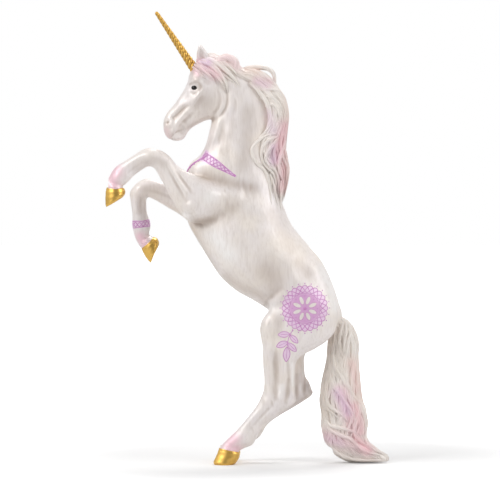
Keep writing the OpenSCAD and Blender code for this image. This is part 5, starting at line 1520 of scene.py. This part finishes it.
for side in (NEAR, FAR):
    for strand in range(WREATH_STRANDS):
        shift = 2 * math.pi * strand / WREATH_STRANDS
        wreath_px = loop_px(lambda a: WREATH_PX + WREATH_SWAY_PX * np.cos(WREATH_WAVES * a + shift), 260)
        mark(in_side_view(wreath_px), LINE_MM, closed=True, side=side)
    mark(in_side_view(loop_px(DISC_PX + DISC_EDGE_PX)), LINE_MM, closed=True, side=side)
    for petal in range(PETALS):
        middle = (petal + 0.5) * 2 * math.pi / PETALS
        turn = full_turn(32)
        along = PETAL_MIDDLE_PX + PETAL_HALF_PX[0] * np.cos(turn)
        across = PETAL_HALF_PX[1] * np.sin(turn)
        x = MEDALLION_PX[0] + along * math.cos(middle) - across * math.sin(middle)
        y = MEDALLION_PX[1] - along * math.sin(middle) - across * math.cos(middle)
        mark(in_side_view(np.column_stack([x, y])), LINE_MM * THIN_LINE, closed=True, side=side)
    dots_px = loop_px(WREATH_PX + WREATH_SWAY_PX + DOTS_OUT_PX, WREATH_STRANDS * WREATH_WAVES)
    for dotted_px in (dots_px, loop_px(INNER_DOTS_PX, PETALS)):
        mark(in_side_view(dotted_px), DOT_MM, dots=True, side=side)
    mark(in_side_view([MEDALLION_PX]), DOT_MM * HEART_SHARE, dots=True, side=side)
    mark(in_side_view(eased([(293, 328), (289.6, 333), (287.6, 340), (287, 346)], 6)), LINE_MM, side=side)
    for base, tip, half_px in LEAVES_PX:
        base, tip = np.array(base), np.array(tip)
        share = np.linspace(0, 1, 24)[:, None]
        across = np.array([-(tip - base)[1], (tip - base)[0]]) / np.linalg.norm(tip - base)
        swell = half_px * np.sin(math.pi * share) ** LEAF_POWER
        for edge in (-1, 1):
            mark(in_side_view(base + (tip - base) * share + across * swell * edge), LINE_MM * FINE_LINE, side=side)
        mark(in_side_view(base + (tip - base) * share[:19]), LINE_MM * VEIN_LINE, side=side)
    path = eased(SHOULDER_PX, 40)
    share = np.linspace(0, 1, len(path))[:, None]
    across = np.gradient(path, axis=0)[:, ::-1] * (-1, 1)
    across = across / np.linalg.norm(across, axis=1, keepdims=True)
    half = SHOULDER_HALF_PX[0] * (1 - share) + SHOULDER_HALF_PX[1] * share
    for strand in (0, 1, 2):
        sway = TWIST_SHARE * half * np.sin(2 * math.pi * (TWIST_WAVES * share ** TWIST_PACE + strand / 3))
        mark(in_side_view(path + across * sway), LINE_MM, side=side)
    closing = np.sin(math.pi * share * 0.5 + 0.5 * math.pi * (share > 0.5)) ** 0.3
    for edge in (-1, 1):
        mark(in_side_view(path + across * half * edge * closing), LINE_MM, side=side)

half_collar = [((206, 152.5), 5.2), ((199, 157.6), 4.4), ((193, 164), 3.0), ((188, 170), 1.2)]
collar_mm = eased([
    *[(*side_mm(px), -across) for px, across in half_collar], (*side_mm((185.4, 172)), 0.0),
    *[(*side_mm(px), across) for px, across in half_collar[::-1]]], 10)[:, [0, 2, 1]]
mark(collar_mm, LINE_MM * THICK_LINE)
mark(collar_mm[4::6] + COLLAR_DOT_SHIFT_MM, DOT_MM, dots=True)

turn = full_turn(120)
around = np.column_stack([
    FETLOCK_MIDDLE_PX + ANKLET_PX * np.cos(turn), FAR * FORE_MIDDLE_MM + ANKLET_MM * np.sin(turn)])
for height_px, sway_px in (
        (FETLOCK_PX[0], 0), (FETLOCK_PX[1], 0),
        (sum(FETLOCK_PX) / 2, ANKLET_SWAY_PX), (sum(FETLOCK_PX) / 2, -ANKLET_SWAY_PX)):
    slope = ANKLET_TILT * (around[:, 0] - FETLOCK_MIDDLE_PX)
    level = height_px + sway_px * np.sin(ANKLET_WAVES * turn) - slope
    x, z = side_mm(np.column_stack([around[:, 0], level])).T
    mark(np.column_stack([x, around[:, 1], z]), LINE_MM, closed=True)

edges, start = [], 0
for points, _, _, dots in drawn:
    if not dots:
        edges += [(start + k, start + k + 1) for k in range(len(points) - 1)]
    start += len(points)
base = bpy.data.meshes.new("markings")
base.from_pydata((np.concatenate([points for points, _, _, _ in drawn]) * MM).tolist(), edges, [])
tracing = placed("markings", base)
keep_values(tracing, "wide", np.concatenate([np.full(len(points), size * MM) for points, _, size, _ in drawn]))
keep_values(tracing, "outward", np.concatenate([ways for _, ways, _, _ in drawn]), "FLOAT_VECTOR")
keep_values(tracing, "dot", np.concatenate([np.full(len(points), dots) for points, _, _, dots in drawn]), "BOOLEAN")
markings = grown("violet_markings", tracing, marking_tree, Material=violet_finish)
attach(markings, "root")

# Steel pins
# Two plain steel pins cast into the hind legs, which carry them on the hooves and hardly show.
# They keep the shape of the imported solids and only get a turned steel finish.
STEEL, STEEL_DARK = (196, 198, 202), (148, 150, 156)

steel_finish, tree, shader = finish("pin_steel", roughness=0.34, metallic=1.0)
turned_marks = grain(tree, 2600.0, stretch=(1.0, 1.0, 0.05), detail=2.0)
painted(tree, shader, paint(STEEL), [(turned_marks, STEEL_DARK)])
bumped(tree, shader, turned_marks, 0.01)
for node in ("left_leg_pin", "right_leg_pin"):
    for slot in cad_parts[node].material_slots:
        slot.material = steel_finish

# Stage
# A plain white table top and background, with soft lamps to the left, to the right and behind,
# and a soft box on the left that only shows in the gloss of the paint.
HALF_FLOOR_M = 1.6
FLOOR_WHITE = 0.82
NEAR_GLOW, FAR_GLOW = 0.13, 1.0
GLOW_REACH_M = (0.06, 0.2)
WORLD_LEVEL = 0.38
FRONT_LEVEL, BACK_LEVEL = 0.3, 0.75
SOFT_BOX_WAY = (-0.66, -0.68, 0.32)
SOFT_BOX_LEVEL = 0.7
SOFT_BOX_EDGE = (0.84, 0.96)
FRONT_WAY, BACK_WAY = -0.95, -0.2
GLOW_MIDDLE_M = (0.02, 0.02, 0.0)

floor = as_object("floor", np.array([(-1, -1, 0), (1, -1, 0), (1, 1, 0), (-1, 1, 0)]) * HALF_FLOOR_M / MM,
                  np.array([(0, 1, 2, 3)]), smooth=False)
floor_finish = bpy.data.materials.new("white_floor")
floor_finish.use_nodes = True
tree = floor_finish.node_tree
tree.nodes.remove(tree.nodes["Principled BSDF"])
seen = add(tree, "ShaderNodeLightPath")
matt = add(tree, "ShaderNodeBsdfDiffuse", {"Color": (FLOOR_WHITE, FLOOR_WHITE, FLOOR_WHITE, 1)})
spot = add(tree, "ShaderNodeTexCoord")
away = vectors(tree, "DISTANCE", a=spot.outputs["Object"], b=GLOW_MIDDLE_M)["Value"]
glow_there = stretched(tree, away, *GLOW_REACH_M, NEAR_GLOW, FAR_GLOW, kind="SMOOTHSTEP")
glow = add(tree, "ShaderNodeEmission", {
    "Strength": sums(tree, "MULTIPLY", seen.outputs["Is Camera Ray"], glow_there)})
both = add(tree, "ShaderNodeAddShader", {0: matt.outputs[0], 1: glow.outputs[0]})
tree.links.new(both.outputs[0], tree.nodes["Material Output"].inputs["Surface"])
floor.data.materials.append(floor_finish)

scene = bpy.context.scene
scene.view_settings.view_transform = "Standard"
world = bpy.data.worlds.new("studio")
scene.world = world
world.use_nodes = True
tree = world.node_tree
seen = add(tree, "ShaderNodeLightPath")
direct = sums(tree, "MAXIMUM", seen.outputs["Is Camera Ray"], seen.outputs["Is Transmission Ray"])
way_seen = add(tree, "ShaderNodeTexCoord").outputs["Generated"]
forward = add(tree, "ShaderNodeSeparateXYZ", {0: way_seen}).outputs["Y"]
mirrored = stretched(tree, forward, FRONT_WAY, BACK_WAY, FRONT_LEVEL, BACK_LEVEL, kind="SMOOTHSTEP")
to_box = vectors(tree, "DOT_PRODUCT", a=way_seen, b=SOFT_BOX_WAY)["Value"]
soft_box = stretched(tree, to_box, *SOFT_BOX_EDGE, most=SOFT_BOX_LEVEL, kind="SMOOTHSTEP")
chosen = add(tree, "ShaderNodeMix", {
    0: seen.outputs["Is Glossy Ray"], 2: stretched(tree, direct, 0.0, 1.0, least=WORLD_LEVEL),
    3: sums(tree, "ADD", mirrored, soft_box)}, data_type="FLOAT")
tree.links.new(chosen.outputs[0], tree.nodes["Background"].inputs["Strength"])
tree.nodes["Background"].inputs["Color"].default_value = (1, 1, 1, 1)

ELEVATION = math.radians(3.0)
DISTANCE_M = 2.0
FRAME_MIDDLE_PX = (250, 250)
FRAME_PX = 500
camera_data = bpy.data.cameras.new("camera")
camera_data.sensor_width = 36.0
camera_data.lens = camera_data.sensor_width * DISTANCE_M / (FRAME_PX * PIXEL_MM * MM)
camera_data.clip_end = 10
camera = placed("camera", camera_data)
middle_x, middle_z = side_mm(FRAME_MIDDLE_PX) * MM
aim = Vector((middle_x, 0.0, middle_z))
camera.location = aim + Vector((0, -math.cos(ELEVATION), math.sin(ELEVATION))) * DISTANCE_M
camera.rotation_euler = (math.pi / 2 - ELEVATION, 0, 0)
scene.camera = camera

for name, place, size, watts in (
        ("left_lamp", (-0.5, -0.35, 0.6), 0.45, 2.9), ("right_lamp", (0.6, -0.35, 0.42), 0.45, 1.8),
        ("back_lamp", (0.15, 0.3, 0.6), 0.3, 1.7)):
    lamp = bpy.data.lights.new(name, "AREA")
    lamp.energy = watts
    lamp.size = size
    shining = placed(name, lamp)
    shining.location = place
    shining.rotation_euler = (aim - Vector(place)).to_track_quat("-Z", "Y").to_euler()
